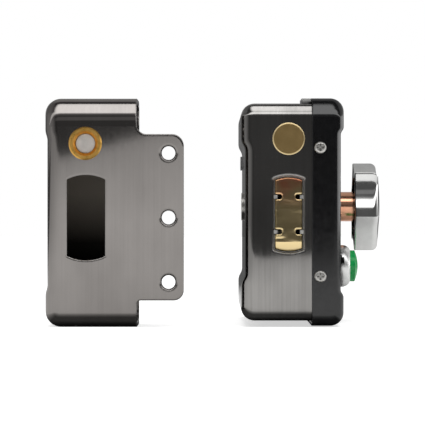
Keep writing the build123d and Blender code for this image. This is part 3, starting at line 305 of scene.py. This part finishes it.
TONGUE_END, TONGUE_DEPTH, TONGUE_SOFT = 30.9 * MM, 2.5 * MM, 0.25 * MM  # the bare lip over the case's top
BARE_METAL = (0.34, 0.34, 0.33)
ENAMEL_TONES = (0.0015, 0.0015, 0.002), (0.004, 0.004, 0.0045)
ENAMEL_GLOSS, ENAMEL_IOR = (0.07, 0.13), 1.62
ENAMEL_DUST, DUST_RANGE = 3 * MM, (0.35, 0.75)
ENAMEL_PEEL, PEEL_DEPTH = 1.1 * MM, 0.0008 * MM


def cover_tongue():
    """Box of the cover's bare tongue."""
    low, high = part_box("lock_cover")
    return (low[0] - MM, low[1] - MM, high[2] - TONGUE_DEPTH), (TONGUE_END, high[1], high[2] + MM)


def black_enamel():
    """Stoved black enamel: smooth, faint orange peel, a little dust in the tone."""
    s = new_material("black_enamel")
    dust = s.noise(ENAMEL_DUST, detail=5.0, rough=0.7)
    colour = s.mix(s.span(dust, *DUST_RANGE), *ENAMEL_TONES)
    colour = s.mix(s.inside(*cover_tongue(), TONGUE_SOFT), colour, BARE_METAL)
    level = s.levelled(s.rounded(EASED_EDGE), s.bend_ends(*COVER_BENDS), s.rolling(*COVER_ROLL))
    peel = s.bump(s.noise(ENAMEL_PEEL, detail=2.0), PEEL_DEPTH, level)
    roughness = s.span(dust, *WIDE, *ENAMEL_GLOSS)
    return s.finish(Base_Color=colour, Roughness=roughness, Normal=peel, IOR=ENAMEL_IOR)


BOLT_TONE, REDDISH_TONE = (0.9, 0.71, 0.38), (0.88, 0.36, 0.2)
BOLT_PATCH, BOLT_WAVE, BOLT_SCRATCH = 7 * MM, 9 * MM, 0.5 * MM
REDDISH_START_Z, REDDISH_FULL_Z, REDDISH_RANGE = 1 * MM, 13 * MM, (0.4, 0.62)
# The bolt's face rolls in at its foot
FOOT_START_Z, FOOT_FULL_Z, FOOT_SINK = -13 * MM, -17.5 * MM, 1.2 * MM
BOLT_EASED_EDGE, BOLT_WAVE_DEPTH, SCRATCH_DEPTH = 1.1 * MM, 0.16 * MM, 0.0004 * MM
BOLT_GLOSS = 0.04, 0.09


def polished_brass():
    """Polished bolt brass with soft waves, hair scratches and reddish patches towards the top."""
    s = new_material("polished_brass")
    patches = s.noise(BOLT_PATCH, detail=2.0, stretch=(0.6, 1, 1.4))
    height = s.axes()[2]
    red = s.maths("MULTIPLY", s.span(height, REDDISH_START_Z, REDDISH_FULL_Z), s.span(patches, *REDDISH_RANGE))
    sunk = s.maths("POWER", s.span(height, FOOT_START_Z, FOOT_FULL_Z), 2.0)
    rolled = s.bump(s.maths("MULTIPLY", sunk, -FOOT_SINK), 1.0, s.rounded(BOLT_EASED_EDGE))
    swell = s.noise(BOLT_WAVE, detail=1.5, stretch=(0.45, 1, 1.3), shift=(2 * MM, 0, 0))
    waves = s.bump(swell, BOLT_WAVE_DEPTH, rolled)
    scratches = s.bump(s.noise(BOLT_SCRATCH, stretch=(0.08, 1, 1)), SCRATCH_DEPTH, waves)
    return s.finish(
        Base_Color=s.mix(red, BOLT_TONE, REDDISH_TONE), Metallic=1.0,
        Roughness=s.span(patches, *WIDE, *BOLT_GLOSS), Normal=scratches,
    )


CREVICE_SHADE_REACH, CREVICE_SHADE_SHARE = 0.8 * MM, 0.25  # painted shade in crevices: how far a hollow is looked for, and the share of the dark tone painted there
# Soft edges of the painted highlight on a rim and of the painted shade in a pit, and the pit's dark tone
RIM_SOFT, PIT_SOFT, PIT_SHADE_TONE = 0.12 * MM, 0.15 * MM, (0.01, 0.01, 0.01)
PATCH_SHARE = 0.7  # of the mottle; the grain has the rest


def metal(name, dark, light, shine, blur, patch, grain, depth, stretch=(1, 1, 1), rim=None, shaded_pit=None):
    """Plain metal: two tones in patches, painted shade in its crevices, roughness shine..blur, a fine grain
    `depth` deep in the bump.

    Rim is (x, z, radius, colour): the piece turns to that colour outside the radius about that axis, a
    polished edge lightened as a painted highlight.
    Pit is the box of a recess painted dark, as painted shade.
    """
    s = new_material(name)
    patches = s.noise(patch, detail=4.0, rough=0.6)
    fine = s.noise(grain, stretch=stretch)
    shares = s.maths("MULTIPLY", patches, PATCH_SHARE), s.maths("MULTIPLY", fine, 1 - PATCH_SHARE)
    mottle = s.maths("ADD", *shares)
    colour = s.mix(s.span(mottle, *NARROW), dark, light)
    # painted shade: the tone darkens where a crevice shuts the surface in
    colour = s.mix(s.shade(CREVICE_SHADE_REACH), colour, tuple(CREVICE_SHADE_SHARE * part for part in dark))
    # painted highlight on the polished rim
    if rim:
        colour = painted_rim_highlight(s, colour, *rim)
    if shaded_pit:
        # painted shade: the pit stays dark whatever light reaches it
        colour = s.mix(s.inside(*shaded_pit, PIT_SOFT), colour, PIT_SHADE_TONE)
    roughness = s.span(mottle, *NARROW, shine, blur)
    return s.finish(Base_Color=colour, Metallic=1.0, Roughness=roughness, Normal=s.bump(fine, depth))


def painted_rim_highlight(s, colour, rim_x, rim_z, radius, highlight_tone):
    """Colour that turns to the given tone outside the radius about an axis along Y: polished metal on an
    edge, lightened as a painted highlight.
    """
    x, _, z = s.axes()
    gaps = s.maths("SUBTRACT", x, rim_x), s.maths("SUBTRACT", z, rim_z)
    squares = [s.maths("POWER", gap, 2.0) for gap in gaps]
    away = s.maths("SQRT", s.maths("ADD", *squares))
    return s.mix(s.span(away, radius, radius + RIM_SOFT), colour, highlight_tone)


SOAK_DEPTH = 1.5 * MM


def moulded(name, dark, light, shine, blur, patch, grain, depth, through=0.0):
    """Moulded plastic or rubber: soft mottle and a grain in the bump; through lets light soak in."""
    s = new_material(name)
    colour = s.mix(s.span(s.noise(patch), *WIDE), dark, light)
    fine = s.noise(grain, rough=0.6)
    return s.finish(
        Base_Color=colour, Roughness=s.span(fine, *WIDE, shine, blur), Normal=s.bump(fine, depth),
        Subsurface_Weight=through, Subsurface_Scale=SOAK_DEPTH,
    )


BOARD_PATTERN = {
    "Color1": (0.01, 0.12, 0.045, 1), "Color2": (0.015, 0.17, 0.06, 1), "Mortar": (0.05, 0.3, 0.12, 1),
    "Scale": 160.0, "Mortar Size": 0.06, "Bias": 0.2,
}
BOARD_WEAVE, WEAVE_DEPTH, BOARD_GLOSS = 0.4 * MM, 0.01 * MM, (0.25, 0.4)


def circuit_board():
    """Green solder mask with lighter tracks: bands of a brick pattern over a fine glass weave."""
    s = new_material("green_board")
    tracks = s.add("ShaderNodeTexBrick", {"Vector": s.place(turn=(90, 0, 90)), **BOARD_PATTERN})
    weave = s.noise(BOARD_WEAVE, detail=2.0)
    roughness = s.span(weave, *WIDE, *BOARD_GLOSS)
    return s.finish(Base_Color=tracks, Roughness=roughness, Normal=s.bump(weave, WEAVE_DEPTH))


# Heights where the pressed faces start to roll over, roll most, still do and meet the bend, and the slopes
CASE_ROLL = 42.2 * MM, 43.1 * MM, 44.0 * MM, 46.1 * MM, 0.36, -0.3
COVER_ROLL = 41.3 * MM, 43.1 * MM, 45.2 * MM, 48.4 * MM, 0.42, -0.1
STRIKE_ROLL = 37.5 * MM, 43.7 * MM, 43.9 * MM, 47.3 * MM, 0.4, -0.09
# Boxes of the ends of the S-bends, on the rims
CASE_BENDS = (-1 * MM, 51 * MM, 23.5 * MM), (9 * MM, 60 * MM, 37 * MM)
COVER_BENDS = (37 * MM, 53 * MM, 25 * MM), (47 * MM, 64 * MM, 40 * MM)
STRIKE_BENDS = (-88 * MM, 51 * MM, 27.5 * MM), (-77 * MM, 60 * MM, 41 * MM)
STRIKE_INSET, STRIKE_OPEN_X = 2.6 * MM, -48 * MM
# Box of the painted shade that deepens the bezel's notch: its lowest height and its far corner
NOTCH_FOOT_Z, NOTCH_END = -25 * MM, (47.2 * MM, -20 * MM, -20.3 * MM)
# The sensor cap's polished edge: its width, and its colour lightened as a painted highlight
SENSOR_BEVEL, SENSOR_EDGE_HIGHLIGHT = 0.55 * MM, (0.85, 0.68, 0.38)


def strike_hollow():
    """Box that holds the inner faces of the strike, clear of its rounded rims and its open right side."""
    low, high = (np.array(corner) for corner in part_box("strike_shell"))
    return tuple(low + STRIKE_INSET), (STRIKE_OPEN_X, high[1] + MM, high[2] - STRIKE_INSET)


def bezel_notch_shade():
    """Box round the notch at the foot of the push button's bezel, where shade is painted, reaching past the
    notch's own depth.
    """
    low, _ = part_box("button_bezel")
    return (low[0], low[1], NOTCH_FOOT_Z), NOTCH_END


def sensor_rim_highlight():
    """The sensor brass cap's polished edge, brightened as a painted highlight: its axis, the radius it
    starts at and its colour.
    """
    low, high = (np.array(corner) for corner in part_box("sensor_cap"))
    middle = (low + high) / 2
    return middle[0], middle[2], (high[2] - low[2]) / 2 - SENSOR_BEVEL, SENSOR_EDGE_HIGHLIGHT


# Darker and lighter tone, least and most roughness, size of the patches, size and depth of the grain
METALS = {
    "satin_brass": ((0.27, 0.185, 0.075), (0.33, 0.23, 0.1), 0.42, 0.5, 5 * MM, 0.3 * MM, 0.004 * MM),
    "ring_brass": ((0.8, 0.45, 0.1), (0.9, 0.53, 0.14), 0.26, 0.34, 3 * MM, 0.25 * MM, 0.001 * MM),
    "gear_brass": ((0.62, 0.45, 0.18), (0.74, 0.55, 0.25), 0.25, 0.36, 3 * MM, 0.3 * MM, 0.005 * MM),
    "bronze_bush": ((0.4, 0.26, 0.12), (0.52, 0.35, 0.18), 0.35, 0.5, 2 * MM, 0.25 * MM, 0.01 * MM),
    "copper": ((0.78, 0.38, 0.24), (0.88, 0.49, 0.31), 0.13, 0.21, 3 * MM, 0.3 * MM, 0.004 * MM),
    "chrome": ((0.7, 0.7, 0.69), (0.8, 0.8, 0.79), 0.05, 0.12, 6 * MM, 0.5 * MM, 0.001 * MM),
    "satin_chrome": ((0.8, 0.8, 0.79), (0.9, 0.9, 0.89), 0.26, 0.38, 4 * MM, 0.3 * MM, 0.001 * MM),
    "zinc_steel": ((0.5, 0.49, 0.47), (0.66, 0.65, 0.62), 0.28, 0.42, 2.5 * MM, 0.3 * MM, 0.006 * MM),
    "screw_steel": ((0.42, 0.41, 0.39), (0.68, 0.67, 0.64), 0.24, 0.36, 1.2 * MM, 0.25 * MM, 0.01 * MM),
    "magnet_nickel": ((0.72, 0.69, 0.66), (0.84, 0.81, 0.78), 0.42, 0.52, 3 * MM, 0.3 * MM, 0.003 * MM),
}
PLASTICS = {
    "grey_rubber": ((0.16, 0.16, 0.165), (0.24, 0.24, 0.245), 0.45, 0.6, 2 * MM, 0.3 * MM, 0.01 * MM),
    "green_plastic": ((0.0, 0.35, 0.07), (0.0, 0.43, 0.1), 0.2, 0.32, 5 * MM, 0.4 * MM, 0.003 * MM),
    "black_nylon": ((0.018, 0.018, 0.019), (0.032, 0.032, 0.033), 0.4, 0.55, 4 * MM, 0.5 * MM, 0.02 * MM),
    "blue_plastic": ((0.01, 0.09, 0.3), (0.02, 0.13, 0.4), 0.28, 0.4, 4 * MM, 0.5 * MM, 0.01 * MM),
}
LET_THROUGH = {"green_plastic": 0.1}

CASE_STEEL = {
    "tones": ((0.225, 0.218, 0.21), (0.365, 0.355, 0.342)),
    "streaking": 0.4, "shift": 0.0, "gloss": (0.035, 0.07),
    "face": {"lean": 0.002, "twist": 0.0, "wave": 0.05 * MM, "roll": CASE_ROLL, "bends": CASE_BENDS},
}
STRIKE_STEEL = {
    "tones": ((0.24, 0.225, 0.214), (0.315, 0.296, 0.283)),
    "streaking": 0.3, "shift": 0.31, "gloss": (0.05, 0.09),
    "face": {"lean": 0.0533, "twist": 0.21, "wave": 0.02 * MM, "roll": STRIKE_ROLL, "bends": STRIKE_BENDS},
}


def make_finishes():
    """Every finish by the name the part's material table uses, and the few that one node has alone."""
    extras = {
        "satin_brass": {"rim": sensor_rim_highlight()}, "satin_chrome": {"shaded_pit": bezel_notch_shade()},
        "copper": {"stretch": (1, 0.1, 0.1)},
    }
    finishes = {name: metal(name, *look, **extras.get(name, {})) for name, look in METALS.items()}
    for name, look in PLASTICS.items():
        finishes[name] = moulded(name, *look, LET_THROUGH.get(name, 0.0))
    finishes["gunmetal_steel"] = brushed_gunmetal("gunmetal_case", **CASE_STEEL)
    finishes["strike_steel"] = brushed_gunmetal("gunmetal_strike", hollow=strike_hollow(), **STRIKE_STEEL)
    finishes["black_enamel"] = black_enamel()
    finishes["polished_brass"] = polished_brass()
    finishes["green_board"] = circuit_board()
    return finishes


OWN_FINISH = {
    "strike_shell": "strike_steel", "strike_ring": "ring_brass", "button_bezel": "satin_chrome",
    "cable_grommet": "grey_rubber", "door_bush": "zinc_steel", "cover_screws": "screw_steel",
}


def dress_nodes(finishes):
    """Gives every CAD node the finish of its slot, or the one made for it alone."""
    for part in frame["record"]["subparts"]:
        name = part["node"]
        finish = finishes[OWN_FINISH.get(name, part["material_slot"])]
        slots = NODES[name].material_slots
        if not slots:
            NODES[name].data.materials.append(finish)
        for slot in slots:
            slot.material = finish


KNOB_AXIS_Y, KNOB_AXIS_Z = 2.0 * MM, 2.5 * MM
KNOB_LOBES = 6
KNOB_CREST, KNOB_HALF_CHORD = 21.85 * MM, 10.925 * MM  # crest radius before rounding, half a flute's width
FLUTE_RADIUS = 20.5 * MM
FLUTE_TURN = math.radians(17)
CREST_ROUND, CREST_LIMIT = 1.3 * MM, 22.25 * MM
KNOB_BACK, KNOB_EDGE, KNOB_FRONT = 52.5 * MM, 63.2 * MM, 64.5 * MM
RIM_ROUND, LIP_ROUND, KNOB_WALL = 2.7 * MM, 0.6 * MM, 2.0 * MM
CEILING, HUB_START, HUB_RADIUS, BORE_RADIUS = 61.6 * MM, 56.0 * MM, 7.8 * MM, 4.02 * MM
HUB = ((CEILING, HUB_RADIUS), (HUB_START, HUB_RADIUS), (HUB_START, BORE_RADIUS), (CEILING, BORE_RADIUS))
KNOB_TURNS = 480  # points round each ring
DOME_START, DOME_RINGS, QUARTER_RINGS, SIDE_RINGS, HOLLOW_RINGS = 0.04, 26, 12, 14, 10


def flute_radius(angle):
    """Knob outline: distance from the axis at each angle.

    A flute of radius f is centred at distance d from the axis, so it lies d cos(a) - sqrt(f^2 - d^2
    sin^2(a)) out, where a is the angle from its middle. The crests are rounded by a smooth minimum of that
    and a circle.
    """
    half_lobe = math.pi / KNOB_LOBES
    a = (angle - FLUTE_TURN + half_lobe) % (2 * half_lobe) - half_lobe
    depth = FLUTE_RADIUS - math.sqrt(FLUTE_RADIUS ** 2 - KNOB_HALF_CHORD ** 2)
    d = KNOB_CREST * math.cos(half_lobe) - depth + FLUTE_RADIUS
    flute = d * np.cos(a) - np.sqrt(FLUTE_RADIUS ** 2 - (d * np.sin(a)) ** 2)
    circle = np.full_like(flute, CREST_LIMIT)
    return -CREST_ROUND * np.logaddexp(-flute / CREST_ROUND, -circle / CREST_ROUND)


def knob_rings():
    """Rings of the knob's lobed part, from the middle of the front round the rim and into the hollow.

    Each is x, the share of the lobed outline against its mean circle, the inset, and how much of the radius
    it has. The front is a flat dome, x = front - rise * u^2; the rim and the lip are quarter circles.
    """
    quarter = np.linspace(0, math.pi / 2, QUARTER_RINGS)[1:]
    rise = KNOB_FRONT - KNOB_EDGE
    outward = np.linspace(DOME_START, 1, DOME_RINGS)
    dome = [(KNOB_FRONT - rise * u ** 2, u ** 3, u * RIM_ROUND, u) for u in outward]
    rim = [(KNOB_EDGE - RIM_ROUND * (1 - math.cos(q)), RIM_ROUND * (1 - math.sin(q))) for q in quarter]
    side = [(x, 0) for x in np.linspace(KNOB_EDGE - RIM_ROUND, KNOB_BACK + LIP_ROUND, SIDE_RINGS)[1:]]
    lip = [(KNOB_BACK + LIP_ROUND * (1 - math.sin(q)), LIP_ROUND * (1 - math.cos(q))) for q in quarter]
    hollow = [(x, KNOB_WALL) for x in np.linspace(KNOB_BACK, CEILING, HOLLOW_RINGS)]
    return np.array(dome + [(x, 1, inset, 1) for x, inset in rim + side + lip + hollow])


def make_knob():
    """Chrome knob: six flutes, a rounded front rim, a low dome and a round hub in its hollow back.

    At the angle a, a ring of radius r has the point y = axis y - r cos(a), z = axis z + r sin(a).
    """
    angle = np.linspace(0, 2 * math.pi, KNOB_TURNS, endpoint=False)
    lobed = flute_radius(angle)
    x, share, inset, reach = knob_rings().T[:, :, None]
    radius = reach * (share * lobed + (1 - share) * lobed.mean()) - inset
    hub_x, hub_radius = np.repeat(np.array(HUB).T[:, :, None], KNOB_TURNS, axis=2)
    x = np.concatenate([np.broadcast_to(x, radius.shape), hub_x])
    radius = np.concatenate([radius, hub_radius])
    y = KNOB_AXIS_Y - radius * np.cos(angle)
    z = KNOB_AXIS_Z + radius * np.sin(angle)
    ends = [[end_x, KNOB_AXIS_Y, KNOB_AXIS_Z] for end_x in (KNOB_FRONT, CEILING)]
    return closed_surface("chrome_knob", np.stack([x, y, z], -1), ends)


SHARP_ANGLE = math.radians(40)


def closed_surface(name, grid, ends):
    """Piece made of rings that close on themselves, with a point at either end."""
    rings, turns = grid.shape[:2]
    index = np.arange(rings * turns).reshape(rings, turns)
    ahead = np.roll(index, -1, axis=1)
    faces = np.stack([index[:-1], ahead[:-1], ahead[1:], index[1:]], -1).reshape(-1, 4).tolist()
    points = np.concatenate([grid.reshape(-1, 3), ends])
    first, last = rings * turns, rings * turns + 1
    faces += np.stack([np.full(turns, first), ahead[0], index[0]], -1).tolist()
    faces += np.stack([np.full(turns, last), index[-1], ahead[-1]], -1).tolist()
    mesh = bpy.data.meshes.new(name)
    mesh.from_pydata(points.tolist(), [], faces)
    shell = bmesh.new()
    shell.from_mesh(mesh)
    bmesh.ops.recalc_face_normals(shell, faces=shell.faces)
    shell.to_mesh(mesh)
    shell.free()
    mesh.shade_smooth()
    mesh.set_sharp_from_angle(angle=SHARP_ANGLE)
    return show(name, mesh)


def fit_knob(finishes):
    """The finer knob stands for the CAD one and turns with the spindle."""
    knob = make_knob()
    knob.data.materials.append(finishes["chrome"])
    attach(knob, "spindle_body")
    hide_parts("knob")


SPRING_WIRE, SPRING_TURNS = 0.7 * MM, 3.5
SPRING_STEPS, WIRE_STEPS = 141, 10  # rings along the wire, points round it


def make_spring():
    """Round wire on a helix about the stem, with its section square to the way it runs.

    At the turn t the middle of the wire is (start + rise t, axis y + r cos(t), axis z + r sin(t)), and the
    section is a circle on two axes: `out`, away from the stem, and `across`, square to it and to the wire.
    """
    low, high = (np.array(corner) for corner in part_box("button_spring"))
    turn = np.linspace(0, 2 * math.pi * SPRING_TURNS, SPRING_STEPS)[:, None]
    around = np.linspace(0, 2 * math.pi, WIRE_STEPS, endpoint=False)[None, :, None]
    wire = SPRING_WIRE / 2
    radius = (high[2] - low[2]) / 2 - wire
    start, end = low[0] + wire, high[0] - wire
    rise = (end - start) / turn[-1]
    axis = np.array([0, low[1] + radius + wire, (low[2] + high[2]) / 2])
    out = np.concatenate([0 * turn, np.cos(turn), np.sin(turn)], 1)
    middle = axis + radius * out
    middle[:, :1] += start + rise * turn
    way = np.concatenate([0 * turn + rise, -radius * np.sin(turn), radius * np.cos(turn)], 1)
    across = np.cross(way / np.linalg.norm(way, axis=1, keepdims=True), out)
    grid = middle[:, None] + wire * (np.cos(around) * out[:, None] + np.sin(around) * across[:, None])
    return closed_surface("cap_spring", grid, middle[[0, -1]])


def fit_spring(finishes):
    """The finer spring stands for the CAD one and stays on the bezel's floor, with the housing."""
    spring = make_spring()
    spring.data.materials.append(finishes["zinc_steel"])
    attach(spring, "housing")
    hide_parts("button_spring")
    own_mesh(spring)


FLOOR_Z = CAD_BOX[0][2]
FLOOR_FRONT_Y = -1.5  # the table ends here, and the dark room in front of it shows in flat metal
FLOOR_REACH = 4.0
TABLE_TONES, TABLE_PATCH = ((0.86, 0.86, 0.86), (0.89, 0.89, 0.885)), 0.4
TABLE_LIFT = 0.6  # light of its own, for the camera alone
SHADED_TONE = (0.05, 0.05, 0.05)
# Painted shade on the table, for gloss alone: where it starts behind the part, where it is full, and how
# deep
BEHIND_START_Y, BEHIND_FULL_Y, BEHIND_SHADE = 0.35, 0.6, 0.85
FOOT_EDGE = 20 * MM  # how far the painted contact shadow runs out past the part
FOOT_END_X, FOOT_FULL_X, FOOT_SHADE = 51 * MM, 46 * MM, 0.93  # it stops short of the knob


def table_white():
    """White that keeps the shadow and that the camera sees as white.

    Gloss sees a painted contact shadow on it under the lock and the strike, and painted shade far behind
    them.
    """
    s = new_material("table_white")
    white = s.mix(s.noise(TABLE_PATCH, detail=2.0), *TABLE_TONES)
    x, y, _ = s.axes()
    behind = s.span(y, BEHIND_START_Y, BEHIND_FULL_Y, 0.0, BEHIND_SHADE)
    low, high = np.array(CAD_BOX)
    foot = s.inside(low - FOOT_EDGE, high + FOOT_EDGE, FOOT_EDGE)
    foot = s.maths("MULTIPLY", s.maths("MINIMUM", foot, s.span(x, FOOT_END_X, FOOT_FULL_X)), FOOT_SHADE)
    shaded = s.maths("MULTIPLY", s.maths("MAXIMUM", behind, foot), s.ray("Glossy"))
    paint = s.add("ShaderNodeBsdfDiffuse", {"Color": s.mix(shaded, white, SHADED_TONE)})
    lift = s.add("ShaderNodeEmission", {"Color": (1, 1, 1, 1), "Strength": TABLE_LIFT})
    shown = s.add("ShaderNodeAddShader", {0: paint, 1: lift})
    surface = s.add("ShaderNodeMixShader", {0: s.ray("Camera"), 1: paint, 2: shown})
    s.add("ShaderNodeOutputMaterial", {"Surface": surface})
    return s.owner


def lay_floor():
    """White table: one flat square under the part."""
    near, far, side = FLOOR_FRONT_Y, FLOOR_REACH, FLOOR_REACH
    corners = (-side, near, FLOOR_Z), (side, near, FLOOR_Z), (side, far, FLOOR_Z), (-side, far, FLOOR_Z)
    mesh = bpy.data.meshes.new("table_top")
    mesh.from_pydata(corners, [], [(0, 1, 2, 3)])
    mesh.materials.append(table_white())
    floor = show("table_top", mesh)


LAMP_LEVEL, EVEN_LEVEL, CARD_LEVEL = 3.0, 0.62, 2.0
# Degrees up from the front horizon, over the top to the back one, and the level there against the lamp's
STUDIO_PROFILE = (
    (0, 0.028), (16, 0.028), (19, 0.07), (27, 0.07), (30, 0.03), (36, 0.06), (40, 0.2), (46, 0.8),
    (60, 0.8), (66, 0.03), (88, 0.03), (97, 0.14), (165, 0.14), (176, 0.05), (180, 0.05),
)
HALF_TURN = 180
# Sides of the pale card: the axis of the direction, where the card starts and where it has its full level
PALE_CARD = (0, 0.0, 0.3), (1, -0.15, 0.05), (1, 0.8, 0.6), (2, 0.4, 0.15)
# Towards the left, by the direction's X: the share left of the profile, and the level of the grey card
LEFT_SHARE, GREY_CARD = (-0.3, -0.7, 1.0, 0.5), (-0.45, -0.95, 0.0, 0.4)


def studio_profile(s, y, z):
    """Level by elevation, which is atan2(z, -y)."""
    elevation = s.maths("ARCTAN2", z, s.maths("MULTIPLY", y, -1.0))
    ramp = s.tree.nodes.new("ShaderNodeValToRGB")
    s.feed(ramp.inputs[0], s.span(elevation, 0.0, math.pi))
    stops = ramp.color_ramp.elements
    stops.remove(stops[1])
    for index, (degrees, level) in enumerate(STUDIO_PROFILE):
        stop = stops[0] if index == 0 else stops.new(degrees / HALF_TURN)
        stop.position, stop.color = degrees / HALF_TURN, (level, level, level, 1)
    return s.maths("MULTIPLY", ramp.outputs[0], LAMP_LEVEL)


def make_room():
    """World: white to the camera, even to matt surfaces, and a studio to gloss.

    The studio has a lamp band high in front with darkness below and above it, a grey wall over the top and
    behind, a low pale card at the right and a grey one at the left.
    """
    world = bpy.data.worlds.new("studio")
    bpy.context.scene.world = world
    s = Shader(world)
    axes = s.split(s.add("ShaderNodeTexCoord", output="Generated"))
    x, y, z = axes
    profile = s.maths("MULTIPLY", studio_profile(s, y, z), s.span(x, *LEFT_SHARE))
    sides = [s.span(axes[axis], start, full, 0.0, CARD_LEVEL) for axis, start, full in PALE_CARD]
    glow = s.maths("MAXIMUM", profile, s.maths("MINIMUM", *sides), s.span(x, *GREY_CARD))
    even = s.choose(s.ray("Glossy"), EVEN_LEVEL, glow)
    shown = s.choose(s.ray("Camera"), even, 1.0)
    sky = s.add("ShaderNodeBackground", {"Color": (1, 1, 1, 1), "Strength": shown})
    s.add("ShaderNodeOutputWorld", {"Surface": sky})


LAMP_WIDTH, LAMP_DEPTH, LAMP_POWER = 1.0, 0.8, 9.0
LAMP_PLACE, LAMP_TILT = (0.1, -0.45, 1.1), math.radians(-22)


def hang_lamp():
    """One large soft lamp above and a little in front of the table, which gloss doesn't see."""
    data = bpy.data.lights.new("soft_lamp", "AREA")
    data.shape = "RECTANGLE"
    data.size, data.size_y = LAMP_WIDTH, LAMP_DEPTH
    data.energy = LAMP_POWER
    lamp = show("soft_lamp", data)
    lamp.location = LAMP_PLACE
    lamp.rotation_euler = (LAMP_TILT, 0, 0)
    lamp.visible_glossy = False


def set_colours():
    """Plain sRGB output with no look applied."""
    bpy.context.scene.view_settings.view_transform = "Standard"


place_camera()
set_colours()
FINISHES = make_finishes()
dress_nodes(FINISHES)
fit_knob(FINISHES)
fit_spring(FINISHES)
lay_floor()
make_room()
hang_lamp()
